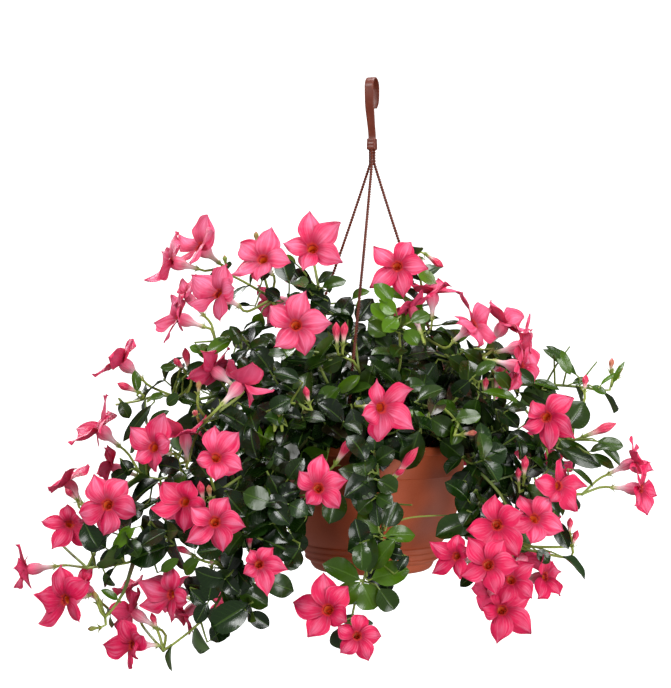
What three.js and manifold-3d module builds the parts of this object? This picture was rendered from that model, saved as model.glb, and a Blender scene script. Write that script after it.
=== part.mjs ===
// A mandevilla trailing from its hanging pot: pot, soil, three-strand hanger, leafy shoots and flower groups.
// Millimetres, +Z up. The origin is the inner top of the hanger's hook, where the whole plant hangs.
import * as THREE from "three";
import { mergeVertices } from "three/addons/utils/BufferGeometryUtils.js";
import Module from "manifold-3d";

const wasm = await Module();
wasm.setup();

// ---------------------------------------------------------------- driving dimensions
const GAP = 0.3; // running gap between two pieces that touch

// pot
const POT_SEGMENTS = 24;
const RIM_TOP = -487;
const POT_HEIGHT = 170;
const LIP_RADIUS = 131.5;
const LIP_HEIGHT = 11;
const LIP_WALL = 2;
const BAND_RADIUS = 123;
const BAND_HEIGHT = 41;
const WALL = 2.6;
const LOWER_WALL_RADIUS = 92; // where the ribs start
const LOWER_WALL_HEIGHT = 35; // above the base
// The round side between the ribs and the band: [radius, height above the base]
const SIDE = [
  [100.5, 45],
  [112.5, 75],
  [119.5, 100],
];
const RIB_PITCH = 7.8;
const RIB_DEPTH = 1.2;
const RIB_TAPER = 1.5; // how much narrower the wall is at each rib further down
const FOOT_RADIUS = 69;
const FOOT_ROUND = [8, 2.5]; // the first of the two slopes that round the foot: across, up
const FOOT_TOP = [13, 9]; // the second
const DRAIN_RADIUS = 4;
const DRAIN_CIRCLE = 42;
const DRAIN_COUNT = 4;
const HOLE_CUT = 12; // length of the cutters for drain and strand holes
const BASE = RIM_TOP - POT_HEIGHT;

// soil
const SOIL_TOP = RIM_TOP - 25;
const SOIL_CROWN = 5;
const STEM_ROOT_DEPTH = 16;
const ROOT_STAGGER = 3; // how much deeper each further stem of a shoot starts

// hanger
const LOOP_RADIUS = 12; // inner radius of the hook's loop
const STRAP_THICKNESS = 2.4;
const STRAP_WIDTH = 12.5;
const HOOK_TURN = 19; // degrees, the hook's mouth turned from the front
const TIP_DROP = 38; // how far the free tip comes down
const CRIMP_TOP = -80;
const CRIMP_HEIGHT = 15;
const CRIMP_SIDE = 12.6;
const STRAND_RADIUS = 2.4;
// Each strand's way round the plant in degrees from the front, right positive: [at the rim, at the crimp]
const STRANDS = { left: [-97, -127], front: [-16, -8], right: [103, 112] };
const STRAND_HOLE_RADIUS = 3.2;
const STRAND_CIRCLE = 125.8; // radius of the rim's strand holes
// Distance of a strand from the plant's axis at each height: close together at the crimp, bowed out by the
// foliage on the way down, and upright through the rim.
const STRAND_PROFILE = [
  [3.1, -86],
  [3.1, -100],
  [3.3, -111],
  [6, -121.5],
  [39.5, -223],
  [88, -359],
  [114, -430],
  [STRAND_CIRCLE, -470],
  [STRAND_CIRCLE, -481],
  [STRAND_CIRCLE, -493],
];
const STRAND_STEPS = 12;
const KNOB = [4.2, 8, 4]; // radial, tangential, height

// plant
const STEM_RADIUS = 2.2;
const STEM_SIDES = 4;
const STEM_STEP = 40; // length of one straight stretch of a stem
const STEM_CLEARANCE = STEM_RADIUS + GAP * 1.4; // radius of the room a stem takes, its flats at the gap
const STALK_RADIUS = 1.4; // peduncles and pedicels
const STALK_BEND = 14; // the last straight stretch of a stalk
const STALK_OVERLAP = 8; // how far a stalk reaches into its flower or bud
const KNOT_RADIUS = 3; // swelling where stalks part
const LEAF_LENGTH = 62;
const LEAF_WIDTH = 40;
const LEAF_THICKNESS = 2;
const LEAF_SPACING = 64; // along the stem, from pair to pair
const LEAF_ANGLE = 62; // degrees between leaf and stem
const FUNNEL_LENGTH = 43;
const FUNNEL_RADIUS = 8;
const THROAT_DEPTH = 9;
const PETALS = 5;
const BUD_RADIUS = 4.2;
const CROWN = new THREE.Vector3(-25, 0, -540); // the point from which the foliage spreads

// ---------------------------------------------------------------- finishes
const FINISH = {
  pot: { color: 0x96503a, roughness: 0.45, metalness: 0 },
  soil: { color: 0x2b1e16, roughness: 0.95, metalness: 0 },
  hanger: { color: 0x7a3a26, roughness: 0.4, metalness: 0 },
  leaf: { color: 0x274a1c, roughness: 0.3, metalness: 0 },
  flower: { color: 0xe9446f, roughness: 0.55, metalness: 0 },
};

// ---------------------------------------------------------------- solids
const part = new THREE.Group();

// A closed three.js geometry as a manifold solid.
function solid(geometry) {
  const bare = geometry.clone();
  bare.deleteAttribute("normal");
  bare.deleteAttribute("uv");
  const merged = mergeVertices(bare, 1e-3);
  return new wasm.Manifold(
    new wasm.Mesh({
      numProp: 3,
      vertProperties: new Float32Array(merged.attributes.position.array),
      triVerts: new Uint32Array(merged.index.array),
    }),
  );
}

function union(solids) {
  return solids.reduce((whole, piece) => whole.add(piece));
}

// The largest body of a solid that a cut has parted.
function largest(shape) {
  return shape.decompose().sort((a, b) => b.volume() - a.volume())[0];
}

// Adds a solid to the part as a named mesh.
function addNode(name, shape, finish) {
  const { vertProperties, triVerts, numProp } = shape.getMesh();
  const geometry = new THREE.BufferGeometry();
  const position = new THREE.InterleavedBufferAttribute(
    new THREE.InterleavedBuffer(new Float32Array(vertProperties), numProp),
    3,
    0,
  );
  geometry.setAttribute("position", position);
  geometry.setIndex(new THREE.BufferAttribute(new Uint32Array(triVerts), 1));
  const mesh = new THREE.Mesh(geometry.toNonIndexed(), new THREE.MeshStandardMaterial(FINISH[finish]));
  mesh.geometry.computeVertexNormals();
  mesh.name = name;
  part.add(mesh);
}

// A solid of revolution about Z from a profile of [radius, height] points.
function turned(profile, segments) {
  const points = profile.map(([r, z]) => new THREE.Vector2(r, z));
  return new THREE.LatheGeometry(points, segments).rotateX(Math.PI / 2);
}

function smoothPath(points) {
  return new THREE.CatmullRomCurve3(points, false, "catmullrom", 0.5);
}

// A point at a share of the way along a bar's straight stretches, with the direction there.
function alongBar(path, steps, share) {
  const corners = path.getSpacedPoints(steps);
  const i = Math.min(steps - 1, Math.floor(share * steps));
  const tangent = corners[i + 1].clone().sub(corners[i]);
  return { at: corners[i].clone().addScaledVector(tangent, share * steps - i), tangent: tangent.normalize() };
}

// A round bar with flat sides along a smooth path.
function tube(path, radius, sides, steps) {
  const section = new THREE.Shape(
    Array.from({ length: sides }, (_, i) => {
      const angle = (2 * Math.PI * i) / sides;
      return new THREE.Vector2(radius * Math.cos(angle), radius * Math.sin(angle));
    }),
  );
  return solid(new THREE.ExtrudeGeometry(section, { steps, bevelEnabled: false, extrudePath: path }));
}

// ---------------------------------------------------------------- front elevation
// The plant is laid out on its front elevation, as it looks from EYE. A place is [across, depth, height]:
// across and height are read on the upright plane through the pot's axis, and depth is the distance behind
// that plane.
const EYE = new THREE.Vector3(-49, -2200, -355.5);

function place([across, depth, height]) {
  const k = (depth - EYE.y) / -EYE.y;
  return new THREE.Vector3(EYE.x + (across - EYE.x) * k, depth, EYE.z + (height - EYE.z) * k);
}

const DEGREE = Math.PI / 180;

// The direction with a heading in the elevation (0 right, 90 up) that leans towards the viewer.
function direction(heading, toward) {
  const flat = Math.cos(toward * DEGREE);
  return new THREE.Vector3(
    flat * Math.cos(heading * DEGREE),
    -Math.sin(toward * DEGREE),
    flat * Math.sin(heading * DEGREE),
  );
}

// Three axes with the first along the given direction and the third as near as it can be to the guide.
function frameAlong(along, guide) {
  const third = guide.clone().addScaledVector(along, -guide.dot(along)).normalize();
  return { along, side: third.clone().cross(along).normalize(), third };
}

// ---------------------------------------------------------------- plant table
// Stems run from the soil outwards. A bud is [base, tip]. A flower is
// [throat, heading, toward, spin, radius]: the way its face looks, the angle of its first petal, its size.
const SHOOTS = {
  top_left: {
    stems: [
      [
        [-30, -10, -508], [-66, -40, -430], [-104, -60, -350], [-131, -70, -300], [-165, -72, -276],
        [-200, -70, -258],
      ],
    ],
    buds: [],
  },
  left_upper: {
    stems: [
      [[-46, -28, -508], [-105, -80, -430], [-148, -108, -365], [-180, -115, -348], [-203, -114, -351]],
    ],
    buds: [],
  },
  top: {
    stems: [
      [[-14, -18, -508], [-36, -36, -420], [-58, -42, -340], [-70, -42, -286]],
      [[-14, -18, -508], [-28, 34, -430], [-38, 76, -360], [-44, 96, -316]],
    ],
    buds: [],
  },
  top_right: {
    stems: [
      [[12, -8, -508], [34, -22, -430], [58, -32, -355], [67, -14, -290], [58, -6, -232]],
      [[12, -8, -508], [26, -70, -430], [38, -100, -380], [36, -110, -335]],
      [[12, -8, -508], [34, 36, -430], [56, 74, -370], [68, 92, -330]],
    ],
    buds: [
      [[70, -8, -234], [96, -12, -252]],
      [[66, -14, -240], [68, -30, -256]],
    ],
  },
  right_upper: {
    stems: [
      [[36, -4, -508], [80, -30, -430], [108, -56, -376], [140, -68, -362], [156, -72, -364]],
      [[36, -4, -508], [90, -84, -456], [130, -112, -412], [166, -116, -402]],
    ],
    buds: [
      [[165, -120, -422], [172, -122, -386]],
      [[152, -122, -423], [153, -122, -400]],
    ],
  },
  right_far: {
    stems: [
      [
        [52, 8, -508], [120, 10, -440], [166, 0, -414], [230, -22, -410], [286, -30, -414],
        [318, -28, -418], [323, -28, -388],
      ],
      [[52, 8, -508], [106, 36, -458], [160, 62, -466], [206, 76, -508], [226, 80, -560]],
    ],
    buds: [
      [[320, -28, -394], [322, -28, -374]],
      [[330, -26, -401], [335, -26, -382]],
    ],
  },
  right_mid: {
    stems: [
      [[58, -20, -508], [130, -66, -474], [190, -92, -476], [236, -98, -484], [262, -104, -484]],
    ],
    buds: [
      [[281, -106, -481], [328, -110, -462]],
      [[285, -104, -420], [287, -104, -396]],
    ],
  },
  right_low: {
    stems: [
      [
        [60, -36, -508], [96, -62, -470], [138, -90, -486], [190, -112, -530], [236, -114, -556],
        [274, -114, -557],
      ],
      [[60, -36, -508], [92, -76, -471], [120, -110, -496], [142, -140, -560], [150, -146, -600]],
    ],
    buds: [],
  },
  right_trail: {
    stems: [
      [[48, -50, -508], [68, -94, -472], [112, -124, -500], [174, -134, -560], [188, -138, -618]],
    ],
    buds: [],
  },
  front: {
    stems: [
      [
        [2, -56, -508], [2, -122, -476], [6, -162, -516], [13, -174, -575], [13, -178, -612],
        [-4, -180, -648], [-11, -180, -672], [-22, -182, -700], [-27, -182, -722],
      ],
    ],
    buds: [
      [[26, -168, -540], [62, -190, -494]],
      [[24, -166, -536], [44, -180, -522]],
    ],
  },
  centre: {
    stems: [
      [[4, -40, -508], [-2, -100, -446], [-14, -140, -426], [-26, -152, -442]],
      [[4, -40, -508], [-8, -90, -420], [-24, -120, -380], [-40, -126, -372]],
      [[4, -40, -508], [44, -104, -456], [88, -146, -438], [116, -152, -462]],
      [[4, -40, -508], [36, -116, -472], [62, -160, -478], [70, -168, -500]],
    ],
    buds: [
      [[120, -170, -477], [141, -176, -474]],
      [[-39, -140, -358], [-36, -142, -326]],
      [[-47, -136, -361], [-48, -136, -326]],
    ],
  },
  centre_left: {
    stems: [
      [[-20, -42, -508], [-50, -104, -430], [-78, -128, -372], [-98, -134, -352]],
      [[-20, -42, -508], [-66, -120, -456], [-106, -160, -434], [-122, -168, -446]],
    ],
    buds: [
      [[-84, -172, -436], [-90, -176, -412]],
      [[-122, -182, -463], [-125, -186, -445]],
      [[-131, -180, -463], [-133, -184, -444]],
    ],
  },
  left_a: {
    stems: [
      [
        [-58, -14, -508], [-136, -54, -440], [-196, -74, -424], [-241, -84, -431], [-283, -85, -424],
        [-310, -83, -431], [-344, -80, -437],
      ],
      [[-58, -14, -508], [-112, 26, -452], [-178, 54, -444], [-238, 70, -474], [-266, 78, -522]],
    ],
    buds: [
      [[-311, -88, -421], [-342, -92, -408]],
      [[-245, -100, -393], [-251, -102, -360]],
      [[-250, -96, -393], [-266, -98, -374]],
    ],
  },
  left_b: {
    stems: [
      [
        [-60, -28, -508], [-100, -56, -452], [-150, -94, -448], [-196, -124, -446], [-230, -144, -466],
        [-246, -154, -512], [-252, -158, -524],
      ],
    ],
    buds: [
      [[-233, -160, -424], [-232, -160, -404]],
      [[-236, -168, -450], [-238, -188, -447]],
    ],
  },
  left_c: {
    stems: [
      [
        [-62, -44, -508], [-98, -60, -472], [-150, -94, -480], [-220, -108, -520], [-280, -108, -536],
        [-302, -108, -534],
      ],
      [[-62, -44, -508], [-104, -42, -470], [-150, -36, -482], [-210, -30, -500], [-270, -20, -520]],
    ],
    buds: [],
  },
  left_d: {
    stems: [
      [
        [-56, -58, -508], [-84, -86, -472], [-140, -130, -508], [-214, -148, -566], [-284, -154, -626],
        [-325, -154, -648], [-374, -150, -655],
      ],
      [[-319, -155, -645], [-334, -158, -690], [-352, -162, -716]],
    ],
    buds: [],
  },
  left_e: {
    stems: [
      [
        [-46, -64, -508], [-70, -98, -472], [-104, -140, -504], [-170, -176, -610], [-206, -164, -700],
        [-240, -160, -737], [-272, -162, -762],
      ],
      [[-46, -64, -508], [-76, -92, -462], [-106, -138, -484], [-136, -168, -530], [-150, -176, -560]],
    ],
    buds: [
      [[-238, -178, -640], [-262, -180, -627]],
      [[-215, -176, -656], [-215, -178, -633]],
      [[-203, -178, -652], [-204, -180, -629]],
    ],
  },
  left_f: {
    stems: [
      [
        [-38, -68, -508], [-56, -102, -472], [-84, -144, -504], [-120, -176, -580], [-146, -178, -640],
        [-168, -182, -700],
      ],
      [[-38, -68, -508], [-44, -106, -462], [-55, -134, -482], [-64, -152, -520], [-69, -158, -540]],
    ],
    buds: [
      [[-164, -184, -634], [-165, -186, -609]],
      [[-50, -168, -518], [-27, -180, -482]],
    ],
  },
  back_left: {
    stems: [
      [[-42, 30, -508], [-110, 100, -430], [-190, 160, -420], [-250, 200, -460], [-276, 215, -510]],
      [[-42, 30, -508], [-84, 100, -452], [-122, 170, -446], [-140, 206, -484]],
    ],
    buds: [],
  },
  back_centre_left: {
    stems: [
      [[-16, 44, -508], [-46, 130, -400], [-74, 210, -376], [-96, 262, -420], [-104, 276, -480]],
      [[-16, 44, -508], [-14, 110, -434], [-10, 170, -424], [-6, 212, -462]],
    ],
    buds: [],
  },
  back_centre_right: {
    stems: [
      [[16, 48, -508], [40, 130, -410], [66, 210, -390], [90, 262, -440], [98, 272, -500]],
      [[16, 48, -508], [62, 80, -410], [98, 116, -376], [118, 134, -370]],
    ],
    buds: [],
  },
  back_right: {
    stems: [
      [[44, 34, -508], [110, 100, -430], [176, 150, -420], [222, 186, -466], [240, 196, -520]],
      [[44, 34, -508], [98, 80, -452], [122, 158, -452], [134, 200, -500]],
    ],
    buds: [],
  },
  back_trail_left: {
    stems: [
      [
        [-50, 54, -508], [-82, 88, -462], [-122, 128, -480], [-170, 170, -550], [-196, 186, -620],
        [-204, 190, -672],
      ],
      [[-50, 54, -508], [-43, 108, -460], [-38, 142, -474], [-36, 176, -520], [-40, 190, -590]],
    ],
    buds: [],
  },
  back_trail_right: {
    stems: [
      [
        [52, 56, -508], [84, 90, -462], [122, 128, -480], [156, 164, -550], [172, 178, -610],
        [176, 182, -650],
      ],
      [[52, 56, -508], [45, 108, -460], [38, 142, -474], [36, 176, -530], [34, 186, -600]],
    ],
    buds: [],
  },
};

// A group sits on [shoot, share of the way along its stem, which stem], and its stalks part at the hub.
const FLOWERS = {
  top_left_end: {
    on: ["top_left", 0.99],
    hub: [-207, -70, -254],
    flowers: [
      [[-236, -60, -221], 140, 25, 90, 40],
      [[-275, -78, -244], 166, 18, 90, 37],
    ],
    buds: [
      [[-196, -66, -251], [-198, -66, -236]],
    ],
  },
  top_left_inner: {
    on: ["top_left", 0.66],
    hub: [-136, -84, -296],
    flowers: [
      [[-147, -120, -241], 120, 60, 69, 38],
      [[-209, -165, -286], 148, 40, 150, 37],
    ],
    buds: [
      [[-154, -70, -222], [-156, -70, -204]],
    ],
  },
  left_upper: {
    on: ["left_upper", 0.98],
    hub: [-210, -114, -352],
    flowers: [
      [[-254, -100, -284], 130, 10, 80, 24],
      [[-266, -122, -318], 160, 18, 60, 34],
    ],
    buds: [],
  },
  top: {
    on: ["top", 0.99],
    hub: [-72, -42, -278],
    flowers: [
      [[-80, -76, -227], 95, 72, 101, 40],
      [[-137, -26, -303], 200, 30, 40, 27],
    ],
    buds: [],
  },
  top_right: {
    on: ["top_right", 0.52],
    hub: [70, -46, -346],
    flowers: [
      [[34, -76, -251], 90, 78, 64, 38],
      [[81, -52, -279], 90, 5, 180, 34],
      [[52, -108, -302], 108, -20, 10, 26],
      [[141, -118, -326], 40, 25, 100, 36],
    ],
    buds: [],
  },
  right_upper: {
    on: ["right_upper", 0.98],
    hub: [163, -74, -363],
    flowers: [
      [[182, -62, -323], 55, 12, 60, 35],
      [[208, -100, -358], 12, 20, 80, 38],
      [[205, -140, -388], -14, 26, 40, 33],
      [[186, -66, -406], -40, 6, 20, 30],
    ],
    buds: [],
  },
  left_a: {
    on: ["left_a", 0.75],
    hub: [-296, -84, -414],
    flowers: [
      [[-341, -70, -374], 138, 8, 54, 36],
    ],
    buds: [],
  },
  left_b_inner: {
    on: ["left_b", 0.62],
    hub: [-228, -154, -462],
    flowers: [
      [[-217, -126, -386], 142, -20, 30, 33],
      [[-170, -190, -404], 46, -10, 90, 34],
    ],
    buds: [],
  },
  left_b_end: {
    on: ["left_b", 0.99],
    hub: [-254, -160, -532],
    flowers: [
      [[-294, -200, -494], 150, 60, 65, 36],
      [[-251, -158, -470], 95, -12, 20, 30],
    ],
    buds: [],
  },
  left_c: {
    on: ["left_c", 0.99],
    hub: [-310, -108, -531],
    flowers: [
      [[-372, -100, -464], 138, 8, 70, 39],
      [[-412, -66, -535], 125, -10, 40, 32],
      [[-355, -60, -518], 160, 5, 50, 26],
    ],
    buds: [
      [[-394, -112, -567], [-412, -112, -549]],
    ],
  },
  left_d_inner: {
    on: ["left_d", 0.42],
    hub: [-210, -158, -556],
    flowers: [
      [[-209, -230, -508], 60, 64, 96, 34],
      [[-252, -212, -567], 140, 64, 135, 35],
      [[-211, -244, -594], 90, 72, 67, 38],
    ],
    buds: [
      [[-226, -186, -568], [-231, -190, -539]],
      [[-217, -184, -564], [-219, -188, -544]],
    ],
  },
  left_d_end: {
    on: ["left_d", 0.99],
    hub: [-382, -150, -656],
    flowers: [
      [[-355, -192, -571], 100, 78, 119, 39],
      [[-405, -126, -596], 60, 50, 110, 30],
      [[-469, -112, -659], 185, 12, 90, 30],
    ],
    buds: [],
  },
  left_d_side: {
    on: ["left_d", 0.98, 1],
    hub: [-358, -164, -722],
    flowers: [
      [[-413, -186, -699], 180, 55, 25, 38],
      [[-392, -140, -676], 130, 30, 60, 26],
    ],
    buds: [
      [[-364, -172, -736], [-382, -174, -738]],
      [[-368, -176, -704], [-374, -178, -686]],
    ],
  },
  left_e_inner: {
    on: ["left_e", 0.72],
    hub: [-214, -170, -694],
    flowers: [
      [[-272, -180, -692], 180, 45, 80, 34],
      [[-254, -132, -722], 220, 20, 40, 26],
    ],
    buds: [],
  },
  left_e_end: {
    on: ["left_e", 0.99],
    hub: [-280, -163, -767],
    flowers: [
      [[-325, -190, -759], 170, 40, 100, 33],
      [[-326, -126, -711], 148, -12, 60, 28],
      [[-329, -96, -680], 112, 0, 50, 24],
    ],
    buds: [
      [[-288, -150, -739], [-296, -150, -716]],
    ],
  },
  left_f: {
    on: ["left_f", 0.72],
    hub: [-146, -188, -636],
    flowers: [
      [[-152, -244, -651], 100, 75, 55, 32],
    ],
    buds: [],
  },
  front_left: {
    on: ["left_f", 0.99, 1],
    hub: [-71, -166, -546],
    flowers: [
      [[-72, -220, -549], 90, 78, 85, 36],
    ],
    buds: [],
  },
  front_end: {
    on: ["front", 0.995],
    hub: [-29, -184, -730],
    flowers: [
      [[-59, -220, -712], 110, 72, 99, 40],
      [[-20, -236, -747], 80, 72, 76, 29],
    ],
    buds: [],
  },
  centre: {
    on: ["centre", 0.98],
    hub: [-30, -158, -448],
    flowers: [
      [[13, -218, -441], 0, 60, 105, 38],
    ],
    buds: [],
  },
  centre_left: {
    on: ["centre_left", 0.99],
    hub: [-102, -140, -346],
    flowers: [
      [[-102, -200, -330], 90, 78, 72, 40],
    ],
    buds: [],
  },
  right_mid: {
    on: ["right_mid", 0.9],
    hub: [252, -108, -474],
    flowers: [
      [[233, -152, -453], 150, 62, 108, 37],
    ],
    buds: [],
  },
  right_low_inner: {
    on: ["right_low", 0.62],
    hub: [212, -124, -546],
    flowers: [
      [[252, -162, -546], 5, 50, 75, 32],
    ],
    buds: [
      [[204, -140, -536], [206, -142, -505]],
      [[197, -138, -545], [196, -138, -521]],
    ],
  },
  right_low_end: {
    on: ["right_low", 0.99],
    hub: [282, -116, -557],
    flowers: [
      [[357, -112, -510], 28, 8, 85, 26],
      [[365, -132, -550], 0, 28, 60, 33],
    ],
    buds: [],
  },
  right_trail: {
    on: ["right_trail", 0.99],
    hub: [189, -140, -627],
    flowers: [
      [[168, -198, -598], 100, 78, 100, 38],
      [[219, -172, -589], 60, 60, 38, 36],
      [[156, -222, -652], 110, 76, 130, 37],
      [[113, -204, -640], 150, 60, 95, 28],
      [[187, -188, -672], 80, 66, 30, 32],
      [[235, -150, -667], 20, 40, 50, 32],
      [[174, -196, -712], 100, 66, 180, 36],
    ],
    buds: [
      [[265, -120, -612], [266, -120, -588]],
      [[268, -120, -628], [276, -120, -605]],
    ],
  },
  back_left: {
    on: ["back_left", 0.99],
    hub: [-278, 220, -518],
    flowers: [
      [[-290, 236, -474], 150, -30, 20, 36],
      [[-266, 270, -566], 200, -70, 50, 36],
      [[-240, 262, -486], 80, -60, 10, 34],
    ],
    buds: [],
  },
  back_centre_left: {
    on: ["back_centre_left", 0.99],
    hub: [-105, 280, -488],
    flowers: [
      [[-130, 318, -452], 120, -62, 10, 38],
      [[-84, 326, -500], 20, -74, 40, 36],
      [[-126, 318, -540], 230, -60, 0, 34],
    ],
    buds: [],
  },
  back_centre_right: {
    on: ["back_centre_right", 0.99],
    hub: [99, 275, -508],
    flowers: [
      [[74, 318, -478], 120, -66, 50, 38],
      [[134, 308, -500], 20, -56, 30, 36],
      [[56, 322, -560], 270, -64, 15, 36],
    ],
    buds: [],
  },
  back_right: {
    on: ["back_right", 0.99],
    hub: [241, 198, -528],
    flowers: [
      [[250, 216, -520], 30, -30, 15, 34],
      [[226, 248, -580], 300, -60, 50, 36],
      [[206, 246, -490], 110, -60, 35, 34],
    ],
    buds: [],
  },
  back_trail_left: {
    on: ["back_trail_left", 0.99],
    hub: [-205, 192, -680],
    flowers: [
      [[-268, 214, -684], 160, -40, 0, 34],
      [[-190, 240, -704], 280, -60, 30, 36],
    ],
    buds: [],
  },
  back_trail_right: {
    on: ["back_trail_right", 0.99],
    hub: [176, 184, -658],
    flowers: [
      [[206, 214, -640], 40, -46, 5, 34],
      [[160, 232, -690], 240, -60, 20, 36],
    ],
    buds: [],
  },
};

// ---------------------------------------------------------------- pot and soil
function makePot() {
  const ribs = [0, 1, 2].flatMap((i) => {
    const z = BASE + LOWER_WALL_HEIGHT - i * RIB_PITCH;
    const r = LOWER_WALL_RADIUS - i * RIB_TAPER;
    return [
      [r + RIB_DEPTH, z],
      [r - RIB_DEPTH / 2, z - RIB_PITCH * 0.45],
    ];
  });
  const flange = RIM_TOP - WALL;
  const outside = [
    [0, BASE],
    [FOOT_RADIUS, BASE],
    [FOOT_RADIUS + FOOT_ROUND[0], BASE + FOOT_ROUND[1]],
    [FOOT_RADIUS + FOOT_TOP[0], BASE + FOOT_TOP[1]],
    ...ribs.reverse(),
    ...SIDE.map(([r, up]) => [r, BASE + up]),
    [BAND_RADIUS - 1.5, RIM_TOP - BAND_HEIGHT],
    [BAND_RADIUS, RIM_TOP - BAND_HEIGHT + 1],
    [BAND_RADIUS, flange],
    [LIP_RADIUS - LIP_WALL, flange],
    [LIP_RADIUS - LIP_WALL, RIM_TOP - LIP_HEIGHT],
    [LIP_RADIUS, RIM_TOP - LIP_HEIGHT],
    [LIP_RADIUS, RIM_TOP],
  ];
  const inside = insideOfPot(0);
  const blank = solid(turned([...outside, ...inside], POT_SEGMENTS));
  const drains = Array.from({ length: DRAIN_COUNT }, (_, i) => {
    const angle = ((i + 0.5) * 2 * Math.PI) / DRAIN_COUNT;
    return hole(DRAIN_RADIUS, DRAIN_CIRCLE * Math.cos(angle), DRAIN_CIRCLE * Math.sin(angle), BASE, 8);
  });
  const strandHoles = Object.values(STRANDS).map(([azimuth]) => {
    const at = aroundFront(azimuth, STRAND_CIRCLE, RIM_TOP);
    return hole(STRAND_HOLE_RADIUS, at.x, at.y, at.z, 12);
  });
  return blank.subtract(union([...drains, ...strandHoles]));
}

// The pot's inner wall from the lip down to the axis, shrunk by a clearance.
function insideOfPot(clear) {
  return [
    [BAND_RADIUS - WALL - clear, RIM_TOP],
    [BAND_RADIUS - WALL - clear, RIM_TOP - BAND_HEIGHT],
    ...SIDE.map(([r, up]) => [r - WALL - clear, BASE + up]).reverse(),
    [LOWER_WALL_RADIUS - WALL - 1 - clear, BASE + LOWER_WALL_HEIGHT],
    [FOOT_RADIUS + 8 - clear, BASE + 9],
    [FOOT_RADIUS - clear, BASE + WALL + clear],
    [0, BASE + WALL + clear],
  ];
}

function hole(radius, x, y, z, sides) {
  const cutter = new THREE.CylinderGeometry(radius, radius, HOLE_CUT, sides);
  return solid(cutter.rotateX(Math.PI / 2).translate(x, y, z));
}

function aroundFront(azimuth, radius, z) {
  return new THREE.Vector3(radius * Math.sin(azimuth * DEGREE), -radius * Math.cos(azimuth * DEGREE), z);
}

function makeSoil() {
  const [, ...lower] = insideOfPot(GAP);
  const surface = [
    [0, SOIL_TOP + SOIL_CROWN],
    [60, SOIL_TOP + SOIL_CROWN - 1],
    [BAND_RADIUS - WALL - GAP, SOIL_TOP],
  ];
  return solid(turned([...surface, ...lower].reverse(), POT_SEGMENTS));
}

// ---------------------------------------------------------------- hanger
// Centre line of the strap in its own plane, from the crimp up the front leg, over the loop and down to the
// free tip. Across is towards the mouth of the hook.
function strapLine() {
  const middle = LOOP_RADIUS + STRAP_THICKNESS / 2;
  const centre = -LOOP_RADIUS;
  const arc = Array.from({ length: 9 }, (_, i) => {
    const angle = Math.PI - (i * Math.PI) / 8;
    return new THREE.Vector2(middle * Math.cos(angle), centre + middle * Math.sin(angle));
  });
  const leg = [
    new THREE.Vector2(0, CRIMP_TOP - 4),
    new THREE.Vector2(0, CRIMP_TOP + 6),
    new THREE.Vector2(-middle * 0.45, CRIMP_TOP + 26),
    new THREE.Vector2(-middle * 0.9, CRIMP_TOP + 48),
  ];
  const tip = [
    new THREE.Vector2(middle * 0.96, -TIP_DROP * 0.7),
    new THREE.Vector2(middle * 0.8, -TIP_DROP),
  ];
  return [...leg, ...arc, ...tip];
}

function makeHook(sockets) {
  const line = strapLine();
  const edge = (side) =>
    line.map((p, i) => {
      const before = line[Math.max(i - 1, 0)];
      const after = line[Math.min(i + 1, line.length - 1)];
      const along = after.clone().sub(before).normalize();
      return new THREE.Vector2(
        p.x - (along.y * side * STRAP_THICKNESS) / 2,
        p.y + (along.x * side * STRAP_THICKNESS) / 2,
      );
    });
  const outline = new THREE.Shape([...edge(1), ...edge(-1).reverse()]);
  const strap = new THREE.ExtrudeGeometry(outline, { depth: STRAP_WIDTH, bevelEnabled: false })
    .translate(0, 0, -STRAP_WIDTH / 2)
    .rotateX(Math.PI / 2)
    .rotateZ((90 - HOOK_TURN) * DEGREE);
  const crimp = new THREE.BoxGeometry(CRIMP_SIDE, CRIMP_SIDE, CRIMP_HEIGHT)
    .translate(0, 0, CRIMP_TOP - CRIMP_HEIGHT / 2)
    .rotateZ(-HOOK_TURN * DEGREE);
  return union([solid(strap), solid(crimp)]).subtract(union(sockets));
}

// A strand's path: it turns from its place at the crimp to its place at the rim as it spreads.
function strandPath([atRim, atCrimp]) {
  const start = STRAND_PROFILE[0][0];
  return smoothPath(
    STRAND_PROFILE.map(([r, z]) => {
      const share = Math.min(1, (r - start) / 40);
      return aroundFront(atCrimp + (atRim - atCrimp) * share, r, z);
    }),
  );
}

// A strand and the knob that keeps it under the rim's flange.
function makeStrand(azimuths) {
  const rope = tube(strandPath(azimuths), STRAND_RADIUS, 8, STRAND_STEPS);
  const end = aroundFront(azimuths[0], STRAND_CIRCLE, RIM_TOP - WALL - 1.5 * GAP - KNOB[2] / 2);
  const knob = new THREE.BoxGeometry(KNOB[1], KNOB[0], KNOB[2])
    .rotateZ(azimuths[0] * DEGREE)
    .translate(end.x, end.y, end.z);
  return rope.add(solid(knob));
}

// What a strand takes out of the crimp block, with the gap around it and above its end.
function strandSocket(azimuths) {
  const top = aroundFront(azimuths[1], STRAND_PROFILE[0][0], STRAND_PROFILE[0][1] + GAP);
  const sleeve = tube(strandPath(azimuths), STRAND_RADIUS + GAP * 1.1, 8, STRAND_STEPS);
  const radius = STRAND_RADIUS + GAP;
  const above = new THREE.CylinderGeometry(radius, radius, 1, 8).rotateX(Math.PI / 2);
  return sleeve.add(solid(above.translate(top.x, top.y, top.z)));
}

// ---------------------------------------------------------------- plant pieces
function leafSolid(base, along, facing, length, width, thickness) {
  const { side, third } = frameAlong(along, facing);
  const middle = base.clone().addScaledVector(along, length / 2);
  const blade = new THREE.OctahedronGeometry(1)
    .scale(length / 2, thickness / 2, width / 2)
    .applyMatrix4(new THREE.Matrix4().makeBasis(along, third, side.negate()).setPosition(middle));
  return solid(blade);
}

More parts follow.
